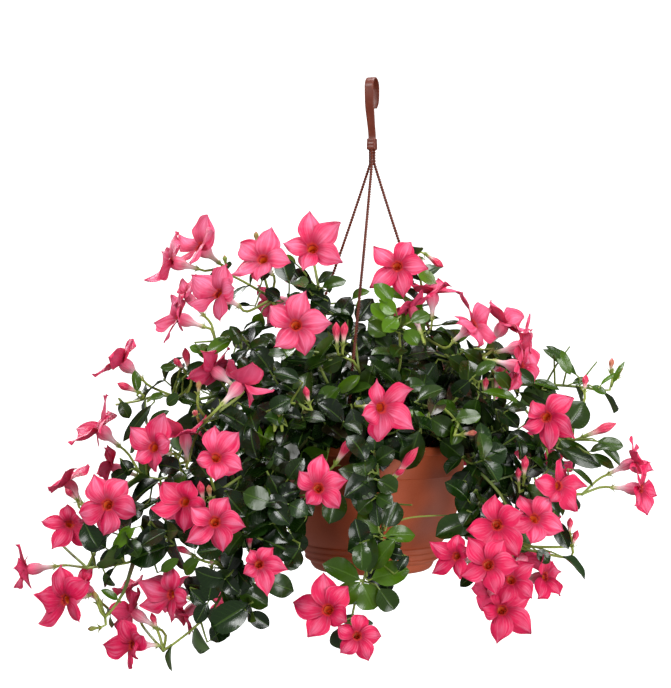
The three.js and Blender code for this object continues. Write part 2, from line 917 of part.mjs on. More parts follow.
// The places of a stem's leaves: opposite pairs, each pair a quarter turn from the last.
function leafPlaces({ path, steps }) {
  const length = path.getLength();
  const pairs = Math.floor((length - 30) / LEAF_SPACING);
  const places = [];
  for (let k = 0; k <= pairs; k += 1) {
    const { at, tangent } = alongBar(path, steps, 1 - (k * LEAF_SPACING + 5) / length);
    if (at.z < RIM_TOP + 8 && Math.hypot(at.x, at.y) < LIP_RADIUS + 10) continue;
    const outward = at.clone().sub(CROWN).normalize();
    const { side, third } = frameAlong(tangent, outward);
    const size = Math.min(1, 0.72 + 0.1 * k);
    for (const half of [0, 1]) {
      const turn = (k % 2) * 90 + half * 180 + 40;
      const across = side.clone().multiplyScalar(Math.cos(turn * DEGREE));
      across.addScaledVector(third, Math.sin(turn * DEGREE));
      places.push({ at, tangent, across, outward, size });
    }
  }
  return places;
}

function flowerSolid([throat, heading, toward, spin, radius]) {
  const along = direction(heading, toward);
  const guide = Math.abs(along.z) < 0.9 ? new THREE.Vector3(0, 0, 1) : new THREE.Vector3(0, -1, 0);
  const { side, third } = frameAlong(along, guide);
  const corolla = new THREE.LatheGeometry(
    [
      new THREE.Vector2(0, -FUNNEL_LENGTH),
      new THREE.Vector2(FUNNEL_RADIUS, -THROAT_DEPTH),
      new THREE.Vector2(radius, 0),
      new THREE.Vector2(0, -THROAT_DEPTH + 2),
    ],
    PETALS,
    Math.PI / 2,
  );
  // lathe X and Z turn into the flower's side and third axes, spun to the first petal
  const first = side.clone().multiplyScalar(Math.cos(spin * DEGREE));
  first.addScaledVector(third, Math.sin(spin * DEGREE));
  const second = first.clone().cross(along);
  corolla.applyMatrix4(new THREE.Matrix4().makeBasis(first, along, second).setPosition(place(throat)));
  return solid(corolla);
}

function budSolid([base, tip]) {
  const from = place(base);
  const along = place(tip).sub(from);
  const length = along.length();
  along.normalize();
  const middle = from.clone().addScaledVector(along, length / 2);
  const { side, third } = frameAlong(along, new THREE.Vector3(0.3, -1, 0.2));
  const body = new THREE.SphereGeometry(1, 5, 2)
    .rotateX(Math.PI / 2)
    .scale(BUD_RADIUS, BUD_RADIUS, length / 2 + 1)
    .applyMatrix4(new THREE.Matrix4().makeBasis(side, third, along).setPosition(middle));
  return solid(body);
}

// A stalk from one point to another that arrives along a given direction.
function stalk(from, to, arriving) {
  const reach = from.distanceTo(to);
  const before = to.clone().addScaledVector(arriving, -Math.min(STALK_BEND, reach * 0.4));
  const inside = to.clone().addScaledVector(arriving, STALK_OVERLAP);
  return tube(smoothPath([from, before, inside]), STALK_RADIUS, 3, 2);
}

function flowerWithStalk(flower, hub) {
  const [throat, heading, toward] = flower;
  const along = direction(heading, toward);
  const base = place(throat).addScaledVector(along, -FUNNEL_LENGTH);
  return [flowerSolid(flower), stalk(hub, base, along)];
}

function budWithStalk(bud, hub) {
  const from = place(bud[0]);
  const along = place(bud[1]).sub(from).normalize();
  return [budSolid(bud), stalk(hub, from, along)];
}

// ---------------------------------------------------------------- the plant
// A stem's bar: its smooth path and the number of its straight stretches. A stem that starts over the soil
// is carried down into it, and one that starts elsewhere is a side stem.
function barAlong(route, rootDepth) {
  const points = route.map(place);
  const [first] = points;
  const inSoil = Math.hypot(first.x, first.y) < BAND_RADIUS;
  const path = smoothPath(inSoil ? [first.clone().setZ(first.z - rootDepth), ...points] : points);
  return { path, steps: Math.max(4, Math.round(path.getLength() / STEM_STEP)) };
}

// The room a stem takes, which cuts what touches it: its bar grown by the gap, and a disc beyond its end.
function stemRoom(route, index) {
  const { path, steps } = barAlong(route, STEM_ROOT_DEPTH + index * ROOT_STAGGER + GAP);
  const { along, side, third } = frameAlong(path.getTangentAt(1), new THREE.Vector3(1, 0.4, 0.2));
  const disc = new THREE.CylinderGeometry(STEM_CLEARANCE, STEM_CLEARANCE, 2 * GAP, 6).applyMatrix4(
    new THREE.Matrix4().makeBasis(third, along, side).setPosition(path.getPoint(1)),
  );
  return [tube(path, STEM_CLEARANCE, STEM_SIDES, steps), solid(disc)];
}

function nearestOnBars(bars, point) {
  let best = null;
  for (const { path, steps } of bars) {
    for (let i = 0; i <= 60; i += 1) {
      const { at } = alongBar(path, steps, i / 60);
      if (!best || at.distanceTo(point) < best.distanceTo(point)) best = at;
    }
  }
  return best;
}

// Each shoot's bars and pieces, and the room its stems take.
const shoots = {};
for (const [name, { stems, buds }] of Object.entries(SHOOTS)) {
  const bars = stems.map((route, index) => barAlong(route, STEM_ROOT_DEPTH + index * ROOT_STAGGER));
  const pieces = bars.map(({ path, steps }) => tube(path, STEM_RADIUS, STEM_SIDES, steps));
  for (const bud of buds) pieces.push(...budWithStalk(bud, nearestOnBars(bars, place(bud[0]))));
  shoots[name] = { bars, pieces, rooms: stems.flatMap(stemRoom) };
}

// A flower group grows from a seat on its shoot: a lone flower on its own stalk, more of them from a knot.
const groups = {};
for (const [name, { on, hub, flowers, buds }] of Object.entries(FLOWERS)) {
  const [shoot, share, stem = 0] = on;
  const { bars, rooms } = shoots[shoot];
  const seat = alongBar(bars[stem].path, bars[stem].steps, share).at;
  const single = flowers.length + buds.length === 1;
  const knot = single ? seat : place(hub);
  const base = single
    ? []
    : [
        tube(smoothPath([seat, knot]), STALK_RADIUS, 3, 1),
        solid(new THREE.OctahedronGeometry(KNOT_RADIUS).translate(knot.x, knot.y, knot.z)),
      ];
  const pieces = [
    ...base,
    ...flowers.flatMap((flower) => flowerWithStalk(flower, knot)),
    ...buds.flatMap((bud) => budWithStalk(bud, knot)),
  ];
  groups[name] = { pieces, shape: largest(union(pieces).subtract(union(rooms))) };
}

const strands = Object.fromEntries(
  Object.entries(STRANDS).map(([side, azimuths]) => [side, makeStrand(azimuths)]),
);
const hook = makeHook(Object.values(STRANDS).map(strandSocket));
const pot = makePot();
const soil = makeSoil().subtract(union(Object.values(shoots).flatMap(({ rooms }) => rooms)));

// Leaves are set last, and a leaf that would cut through another piece is turned, made smaller or left out.
const obstacles = [pot, soil, hook, ...Object.values(strands)].map((shape) => ({ owner: "", shape }));
for (const [name, { pieces }] of Object.entries(shoots)) {
  obstacles.push(...pieces.map((shape) => ({ owner: name, shape })));
}
for (const { pieces } of Object.values(groups)) {
  obstacles.push(...pieces.map((shape) => ({ owner: "", shape })));
}
for (const obstacle of obstacles) obstacle.box = obstacle.shape.boundingBox();

function apart(a, b) {
  return [0, 1, 2].some((axis) => a.min[axis] > b.max[axis] + 1 || b.min[axis] > a.max[axis] + 1);
}

function fits(shape, owner) {
  const box = shape.boundingBox();
  return obstacles.every(
    (other) => other.owner === owner || apart(box, other.box) || shape.intersect(other.shape).volume() < 1e-6,
  );
}

const LEAF_TRIES = [
  [0, 1],
  [28, 1],
  [-28, 1],
  [0, 0.72],
];

function addLeaf(name, { at, tangent, across, outward, size }) {
  for (const [swing, share] of LEAF_TRIES) {
    const angle = (LEAF_ANGLE + swing) * DEGREE;
    const along = tangent.clone().multiplyScalar(Math.cos(angle));
    along.addScaledVector(across, Math.sin(angle)).normalize();
    const facing = outward.clone().add(new THREE.Vector3(0, 0, 0.55)).addScaledVector(tangent, 0.2);
    const length = LEAF_LENGTH * size * share;
    const width = LEAF_WIDTH * size * share;
    const room = leafSolid(at, along, facing, length + 1, width + 1, LEAF_THICKNESS + 1);
    if (!fits(room, name)) continue;
    const shape = leafSolid(at, along, facing, length, width, LEAF_THICKNESS);
    shoots[name].pieces.push(shape);
    obstacles.push({ owner: name, shape, box: shape.boundingBox() });
    return;
  }
}

for (const [name, { bars }] of Object.entries(shoots)) {
  for (const bar of bars) {
    for (const leaf of leafPlaces(bar)) addLeaf(name, leaf);
  }
}

// ---------------------------------------------------------------- nodes
addNode("pot", pot, "pot");
addNode("soil", soil, "soil");
addNode("hanger_hook", hook, "hanger");
for (const [side, shape] of Object.entries(strands)) addNode(`hanger_strand_${side}`, shape, "hanger");
for (const [name, { pieces }] of Object.entries(shoots)) addNode(`shoot_${name}`, union(pieces), "leaf");
for (const [name, { shape }] of Object.entries(groups)) addNode(`flowers_${name}`, shape, "flower");

export default part;
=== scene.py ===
"""Looks of a mandevilla in a hanging pot: pot, soil, hanger, leafy shoots, flowers and buds.

Lengths are in millimetres until a mesh is made, and +Z is up. The origin is the inner top of the
hanger's hook. Every shape is a closed loft: rings of points, worked out as whole arrays.
"""

from __future__ import annotations

import logging
import math
import zlib
from dataclasses import dataclass, field, replace
from enum import Enum
from typing import ClassVar

import bpy
import numpy as np
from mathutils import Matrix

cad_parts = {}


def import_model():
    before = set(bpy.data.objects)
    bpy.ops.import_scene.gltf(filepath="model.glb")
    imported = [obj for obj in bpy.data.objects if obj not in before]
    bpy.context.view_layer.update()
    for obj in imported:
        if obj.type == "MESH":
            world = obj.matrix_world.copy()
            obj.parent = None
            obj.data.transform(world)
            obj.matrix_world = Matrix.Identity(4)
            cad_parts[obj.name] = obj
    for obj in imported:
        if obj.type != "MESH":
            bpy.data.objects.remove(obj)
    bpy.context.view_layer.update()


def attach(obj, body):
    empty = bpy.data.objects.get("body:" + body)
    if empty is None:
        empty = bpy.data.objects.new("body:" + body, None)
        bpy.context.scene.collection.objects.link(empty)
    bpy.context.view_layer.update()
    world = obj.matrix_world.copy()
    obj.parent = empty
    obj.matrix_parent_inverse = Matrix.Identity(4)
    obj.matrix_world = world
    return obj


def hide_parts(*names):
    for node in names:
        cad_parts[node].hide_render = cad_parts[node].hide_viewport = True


LOG = logging.getLogger("mandevilla")
MM = 0.001

Array = np.ndarray
Spot = tuple[float, float, float]
Draws = np.random.Generator

# The plant is laid out on its front elevation, as it looks from here.
EYE = np.array([-49.0, -2200.0, -355.5])

# Where the shoots' stems start, over the soil.
ROOT_HEIGHT = -508

# Petal tips and single leaves are laid out on a sheet over the elevation, in steps to the right of
# its corner and down from it. The corner is [across, height].
SHEET_STEP = 1.3415
SHEET_CORNER = np.array([-499.0, 106.0])


class Finish(Enum):
    """The finishes that the pieces are made of."""

    POT = "pot_plastic"
    SOIL = "potting_soil"
    HANGER = "hanger_plastic"
    LEAF = "leaf"
    STEM = "green_stem"
    PETAL = "petal"
    FUNNEL = "funnel"
    BUD = "bud"
    PAPER = "backdrop_paper"


class Slot(Enum):
    """The record's material slots."""

    POT = "pot"
    SOIL = "soil"
    HANGER = "hanger"
    LEAF = "leaf"
    FLOWER = "flower"


@dataclass(frozen=True)
class Shoot:
    """A shoot: its root, each stem's way on from there, and its single buds as base and tip.

    An arm is a stem that leaves another one and doesn't start at the root.
    """

    root: tuple[float, float]
    stems: tuple[tuple[Spot, ...], ...]
    buds: tuple[tuple[float, ...], ...] = ()
    arms: tuple[tuple[Spot, ...], ...] = ()

    @property
    def routes(self) -> list[tuple[Spot, ...]]:
        """Every stem's whole way."""
        return [((*self.root, ROOT_HEIGHT), *stem) for stem in self.stems] + list(self.arms)


@dataclass(frozen=True)
class Spray:
    """A group of flowers: its seat as shoot, share of the length and stem, and its hub.

    A flower is its throat, the heading and lean of its face, the angle of its first petal, its
    radius and, where it is laid petal by petal, the place of each petal's tip on the sheet. A bud
    is its base and tip.
    """

    on: tuple[str, float, int]
    hub: Spot
    flowers: tuple[tuple, ...]
    buds: tuple[tuple[float, ...], ...] = ()


# Places are [across, depth, height]: across and height are read on the upright plane through the
# pot's axis, as seen from EYE, and depth is the distance behind that plane.
SHOOTS: dict[str, Shoot] = {
    "top_left": Shoot((-30, -10), (
        ((-66, -40, -430), (-104, -60, -350), (-131, -70, -300), (-165, -72, -276), (-200, -70, -258)),
    )),
    "left_upper": Shoot((-46, -28), (
        ((-105, -80, -430), (-148, -108, -365), (-180, -115, -348), (-203, -114, -351)),
    )),
    "top": Shoot((-14, -18), (
        ((-36, -36, -420), (-58, -42, -340), (-70, -42, -286)),
        ((-28, 34, -430), (-38, 76, -360), (-44, 96, -316)),
    )),
    "top_right": Shoot((12, -8), (
        ((34, -22, -430), (58, -32, -355), (67, -14, -290), (58, -6, -232)),
        ((26, -70, -430), (38, -100, -380), (36, -110, -335)),
        ((34, 36, -430), (56, 74, -370), (68, 92, -330)),
    ), buds=((70, -8, -234, 96, -12, -252), (66, -14, -240, 68, -30, -256))),
    "right_upper": Shoot((36, -4), (
        ((80, -30, -430), (108, -56, -376), (140, -68, -362), (156, -72, -364)),
        ((90, -84, -456), (130, -112, -412), (166, -116, -402)),
    ), buds=((165, -120, -422, 172, -122, -386), (152, -122, -423, 153, -122, -400))),
    "right_far": Shoot((52, 8), (
        ((120, 10, -440), (166, 0, -414), (230, -22, -410), (286, -30, -414), (318, -28, -418),
         (323, -28, -388)),
        ((106, 36, -458), (160, 62, -466), (206, 76, -508), (226, 80, -560)),
    ), buds=((320, -28, -394, 322, -28, -374), (330, -26, -401, 335, -26, -382))),
    "right_mid": Shoot((58, -20), (
        ((130, -66, -474), (190, -92, -476), (236, -98, -484), (262, -104, -484)),
    ), buds=((281, -106, -481, 328, -110, -462), (285, -104, -420, 287, -104, -396))),
    "right_low": Shoot((60, -36), (
        ((96, -62, -470), (138, -90, -486), (190, -112, -530), (236, -114, -556), (274, -114, -557)),
        ((92, -76, -471), (120, -110, -496), (142, -140, -560), (150, -146, -600)),
    )),
    "right_trail": Shoot((48, -50), (
        ((68, -94, -472), (112, -124, -500), (174, -134, -560), (188, -138, -618)),
    )),
    "front": Shoot((2, -56), (
        ((2, -122, -476), (6, -162, -516), (13, -174, -575), (13, -178, -612), (-4, -180, -648),
         (-11, -180, -672), (-22, -182, -700), (-27, -182, -722)),
    ), buds=((26, -168, -540, 62, -190, -494), (24, -166, -536, 44, -180, -522))),
    "centre": Shoot((4, -40), (
        ((-2, -100, -446), (-14, -140, -426), (-26, -152, -442)),
        ((-8, -90, -420), (-24, -120, -380), (-40, -126, -372)),
        ((44, -104, -456), (88, -146, -438), (116, -152, -462)),
        ((36, -116, -472), (62, -160, -478), (70, -168, -500)),
    ), buds=(
        (120, -170, -477, 141, -176, -474), (-39, -140, -358, -36, -142, -326),
        (-47, -136, -361, -48, -136, -326),
    )),
    "centre_left": Shoot((-20, -42), (
        ((-50, -104, -430), (-78, -128, -372), (-98, -134, -352)),
        ((-66, -120, -456), (-106, -160, -434), (-122, -168, -446)),
    ), buds=(
        (-84, -172, -436, -90, -176, -412), (-122, -182, -463, -125, -186, -445),
        (-131, -180, -463, -133, -184, -444),
    )),
    "left_a": Shoot((-58, -14), (
        ((-136, -54, -440), (-196, -74, -424), (-241, -84, -431), (-283, -85, -424), (-310, -83, -431),
         (-344, -80, -437)),
        ((-112, 26, -452), (-178, 54, -444), (-238, 70, -474), (-266, 78, -522)),
    ), buds=(
        (-311, -88, -421, -342, -92, -408), (-245, -100, -393, -251, -102, -360),
        (-250, -96, -393, -266, -98, -374),
    )),
    "left_b": Shoot((-60, -28), (
        ((-100, -56, -452), (-150, -94, -448), (-196, -124, -446), (-230, -144, -466), (-246, -154, -512),
         (-252, -158, -524)),
    ), buds=((-233, -160, -424, -232, -160, -404), (-236, -168, -450, -238, -188, -447))),
    "left_c": Shoot((-62, -44), (
        ((-98, -60, -472), (-150, -94, -480), (-220, -108, -520), (-280, -108, -536), (-302, -108, -534)),
        ((-104, -42, -470), (-150, -36, -482), (-210, -30, -500), (-270, -20, -520)),
    )),
    "left_d": Shoot((-56, -58), (
        ((-84, -86, -472), (-140, -130, -508), (-214, -148, -566), (-284, -154, -626), (-325, -154, -648),
         (-374, -150, -655)),
    ), arms=(((-319, -155, -645), (-334, -158, -690), (-352, -162, -716)),)),
    "left_e": Shoot((-46, -64), (
        ((-70, -98, -472), (-104, -140, -504), (-170, -176, -610), (-206, -164, -700), (-240, -160, -737),
         (-272, -162, -762)),
        ((-76, -92, -462), (-106, -138, -484), (-136, -168, -530), (-150, -176, -560)),
    ), buds=(
        (-238, -178, -640, -262, -180, -627), (-215, -176, -656, -215, -178, -633),
        (-203, -178, -652, -204, -180, -629),
    )),
    "left_f": Shoot((-38, -68), (
        ((-56, -102, -472), (-84, -144, -504), (-120, -176, -580), (-146, -178, -640), (-168, -182, -700)),
        ((-44, -106, -462), (-55, -134, -482), (-64, -152, -520), (-69, -158, -540)),
    ), buds=((-164, -184, -634, -165, -186, -609), (-50, -168, -518, -27, -180, -482))),
    "back_left": Shoot((-42, 30), (
        ((-110, 100, -430), (-190, 160, -420), (-250, 200, -460), (-276, 215, -510)),
        ((-84, 100, -452), (-122, 170, -446), (-140, 206, -484)),
    )),
    "back_centre_left": Shoot((-16, 44), (
        ((-46, 130, -400), (-74, 210, -376), (-96, 262, -420), (-104, 276, -480)),
        ((-14, 110, -434), (-10, 170, -424), (-6, 212, -462)),
    )),
    "back_centre_right": Shoot((16, 48), (
        ((40, 130, -410), (66, 210, -390), (90, 262, -440), (98, 272, -500)),
        ((62, 80, -410), (98, 116, -376), (118, 134, -370)),
    )),
    "back_right": Shoot((44, 34), (
        ((110, 100, -430), (176, 150, -420), (222, 186, -466), (240, 196, -520)),
        ((98, 80, -452), (122, 158, -452), (134, 200, -500)),
    )),
    "back_trail_left": Shoot((-50, 54), (
        ((-82, 88, -462), (-122, 128, -480), (-170, 170, -550), (-196, 186, -620), (-204, 190, -672)),
        ((-43, 108, -460), (-38, 142, -474), (-36, 176, -520), (-40, 190, -590)),
    )),
    "back_trail_right": Shoot((52, 56), (
        ((84, 90, -462), (122, 128, -480), (156, 164, -550), (172, 178, -610), (176, 182, -650)),
        ((45, 108, -460), (38, 142, -474), (36, 176, -530), (34, 186, -600)),
    )),
}

SPRAYS: dict[str, Spray] = {
    "top_left_end": Spray(("top_left", 0.99, 0), (-207, -70, -254), (
        ((-236, -60, -221), 140, 25, 90, 40), ((-275, -78, -244), 166, 18, 90, 37),
    ), ((-196, -66, -251, -198, -66, -236),)),
    "top_left_inner": Spray(("top_left", 0.66, 0), (-136, -84, -296), (
        ((-147, -120, -241), 120, 60, 69, 38, (238, 240), (272, 228), (288, 259), (261, 287), (230, 274)),
        ((-209, -165, -286), 148, 40, 150, 37,
         (230, 268), (196, 279), (193, 306), (217, 318), (236, 290)),
    ), ((-154, -70, -222, -156, -70, -204),)),
    "left_upper": Spray(("left_upper", 0.98, 0), (-210, -114, -352), (
        ((-254, -100, -284), 130, 10, 80, 24), ((-266, -122, -318), 160, 18, 60, 34),
    )),
    "top": Spray(("top", 0.99, 0), (-72, -42, -278), (
        ((-80, -76, -227), 95, 72, 101, 40, (309, 210), (340, 223), (342, 263), (303, 272), (283, 243)),
        ((-137, -26, -303), 200, 30, 40, 27),
    )),
    "top_right": Spray(("top_right", 0.52, 0), (70, -46, -346), (
        ((34, -76, -251), 90, 78, 64, 38, (412, 240), (374, 245), (370, 287), (403, 298), (428, 268)),
        ((81, -52, -279), 90, 5, 180, 34), ((52, -108, -302), 108, -20, 10, 26),
        ((141, -118, -326), 40, 25, 100, 36, (457, 299), (497, 308), (498, 336), (479, 342)),
    )),
    "right_upper": Spray(("right_upper", 0.98, 0), (163, -74, -363), (
        ((182, -62, -323), 55, 12, 60, 35), ((208, -100, -358), 12, 20, 80, 38),
        ((205, -140, -388), -14, 26, 40, 33), ((186, -66, -406), -40, 6, 20, 30),
    )),
    "left_a": Spray(("left_a", 0.75, 0), (-296, -84, -414), (
        ((-341, -70, -374), 138, 8, 54, 36),
    )),
    "left_b_inner": Spray(("left_b", 0.62, 0), (-228, -154, -462), (
        ((-217, -126, -386), 142, -20, 30, 33), ((-170, -190, -404), 46, -10, 90, 34),
    )),
    "left_b_end": Spray(("left_b", 0.99, 0), (-254, -160, -532), (
        ((-294, -200, -494), 150, 60, 65, 36,
         (129.5, 429), (170, 417.5), (173, 442), (152.5, 470), (137, 462)),
        ((-251, -158, -470), 95, -12, 20, 30),
    )),
    "left_c": Spray(("left_c", 0.99, 0), (-310, -108, -531), (
        ((-372, -100, -464), 138, 8, 70, 39), ((-412, -66, -535), 125, -10, 40, 32),
        ((-355, -60, -518), 160, 5, 50, 26),
    ), ((-394, -112, -567, -412, -112, -549),)),
    "left_d_inner": Spray(("left_d", 0.42, 0), (-210, -158, -556), (
        ((-209, -230, -508), 60, 64, 96, 34,
         (213, 428), (237.5, 432.5), (241, 471), (226, 480), (197, 459)),
        ((-252, -212, -567), 140, 64, 135, 35,
         (161.6, 483.6), (194, 483.6), (154.4, 511.4), (183, 531), (203, 513)),
        ((-211, -244, -594), 90, 72, 67, 38,
         (227, 498), (245, 528), (222, 549.6), (186, 541.6), (191, 509)),
    ), ((-226, -186, -568, -231, -190, -539), (-217, -184, -564, -219, -188, -544))),
    "left_d_end": Spray(("left_d", 0.99, 0), (-382, -150, -656), (
        ((-355, -192, -571), 100, 78, 119, 39,
         (93.7, 476), (125.5, 481), (134.5, 514), (102.5, 534.5), (77, 512.5)),
        ((-405, -126, -596), 60, 50, 110, 30,
         (64.5, 507), (44, 517.5), (52.5, 543), (75, 547), (81, 525)),
        ((-469, -112, -659), 185, 12, 90, 30),
    )),
    "left_d_side": Spray(("left_d", 0.98, 1), (-358, -164, -722), (
        ((-413, -186, -699), 180, 55, 25, 38, (34, 597), (38, 624), (85, 619), (60, 567), (86, 581)),
        ((-392, -140, -676), 130, 30, 60, 26),
    ), ((-364, -172, -736, -382, -174, -738), (-368, -176, -704, -374, -178, -686))),
    "left_e_inner": Spray(("left_e", 0.72, 0), (-214, -170, -694), (
        ((-272, -180, -692), 180, 45, 80, 34, (172, 566), (142, 583), (140, 603), (165, 620), (184, 600)),
        ((-254, -132, -722), 220, 20, 40, 26),
    )),
    "left_e_end": Spray(("left_e", 0.99, 0), (-280, -163, -767), (
        ((-325, -190, -759), 170, 40, 100, 33, (127, 622), (107.5, 651), (123, 669.5), (140, 654)),
        ((-326, -126, -711), 148, -12, 60, 28), ((-329, -96, -680), 112, 0, 50, 24),
    ), ((-288, -150, -739, -296, -150, -716),)),
    "left_f": Spray(("left_f", 0.72, 0), (-146, -188, -636), (
        ((-152, -244, -651), 100, 75, 55, 32,
         (250, 551), (273, 549), (287.6, 570.6), (267.6, 595.6), (243.4, 573.6)),
    )),
    "front_left": Spray(("left_f", 0.99, 1), (-71, -166, -546), (
        ((-72, -220, -549), 90, 78, 85, 36,
         (322.4, 455), (299, 471), (306, 504), (339, 507), (347.4, 481)),
    )),
    "front_end": Spray(("front", 0.995, 0), (-29, -184, -730), (
        ((-59, -220, -712), 110, 72, 99, 40,
         (323.7, 575.8), (343.3, 585.8), (347.5, 623), (308.3, 636.7), (292.5, 603.7)),
        ((-20, -236, -747), 80, 72, 76, 29,
         (364, 615.8), (381.7, 636.3), (368.3, 659.5), (340.5, 652), (338.3, 626.3)),
    )),
    "centre": Spray(("centre", 0.98, 0), (-30, -158, -448), (
        ((13, -218, -441), 0, 60, 105, 38,
         (376.6, 379), (414, 391), (409.4, 430), (382, 441.4), (367, 417.6)),
    )),
    "centre_left": Spray(("centre_left", 0.99, 0), (-102, -140, -346), (
        ((-102, -200, -330), 90, 78, 72, 40, (306, 292), (331, 323), (304, 354), (274, 348), (270, 305)),
    )),
    "right_mid": Spray(("right_mid", 0.9, 0), (252, -108, -474), (
        ((233, -152, -453), 150, 62, 108, 37,
         (571, 397), (571, 437), (553, 448), (525.5, 430), (531, 407.5)),
    )),
    "right_low_inner": Spray(("right_low", 0.62, 0), (212, -124, -546), (
        ((252, -162, -546), 5, 50, 75, 32,
         (566, 460), (530, 478), (582.5, 489), (577, 512.5), (556, 502)),
    ), ((204, -140, -536, 206, -142, -505), (197, -138, -545, 196, -138, -521))),
    "right_low_end": Spray(("right_low", 0.99, 0), (282, -116, -557), (
        ((357, -112, -510), 28, 8, 85, 26), ((365, -132, -550), 0, 28, 60, 33),
    )),
    "right_trail": Spray(("right_trail", 0.99, 0), (189, -140, -627), (
        ((168, -198, -598), 100, 78, 100, 38, (496, 496), (467, 530), (523, 514), (518, 556), (480, 552)),
        ((219, -172, -589), 60, 60, 38, 36),
        ((156, -222, -652), 110, 76, 130, 37, (469, 539), (505, 541), (519, 566), (495, 594), (461, 576)),
        ((113, -204, -640), 150, 60, 95, 28,
         (457.5, 535.5), (467, 551), (452, 579), (430.5, 571), (432, 544.5)),
        ((187, -188, -672), 80, 66, 30, 32),
        ((235, -150, -667), 20, 40, 50, 32, (550, 555), (564, 571), (552.5, 597), (541, 604)),
        ((174, -196, -712), 100, 66, 180, 36,
         (531, 598), (530, 631), (495.5, 641), (482.5, 609), (505, 596)),
    ), ((265, -120, -612, 266, -120, -588), (268, -120, -628, 276, -120, -605))),
    "back_left": Spray(("back_left", 0.99, 0), (-278, 220, -518), (
        ((-290, 236, -474), 150, -30, 20, 36), ((-266, 270, -566), 200, -70, 50, 36),
        ((-240, 262, -486), 80, -60, 10, 34),
    )),
    "back_centre_left": Spray(("back_centre_left", 0.99, 0), (-105, 280, -488), (
        ((-130, 318, -452), 120, -62, 10, 38), ((-84, 326, -500), 20, -74, 40, 36),
        ((-126, 318, -540), 230, -60, 0, 34),
    )),
    "back_centre_right": Spray(("back_centre_right", 0.99, 0), (99, 275, -508), (
        ((74, 318, -478), 120, -66, 50, 38), ((134, 308, -500), 20, -56, 30, 36),
        ((56, 322, -560), 270, -64, 15, 36),
    )),
    "back_right": Spray(("back_right", 0.99, 0), (241, 198, -528), (
        ((250, 216, -520), 30, -30, 15, 34), ((226, 248, -580), 300, -60, 50, 36),
        ((206, 246, -490), 110, -60, 35, 34),
    )),
    "back_trail_left": Spray(("back_trail_left", 0.99, 0), (-205, 192, -680), (
        ((-268, 214, -684), 160, -40, 0, 34), ((-190, 240, -704), 280, -60, 30, 36),
    )),
    "back_trail_right": Spray(("back_trail_right", 0.99, 0), (176, 184, -658), (
        ((206, 214, -640), 40, -46, 5, 34), ((160, 232, -690), 240, -60, 20, 36),
    )),
}

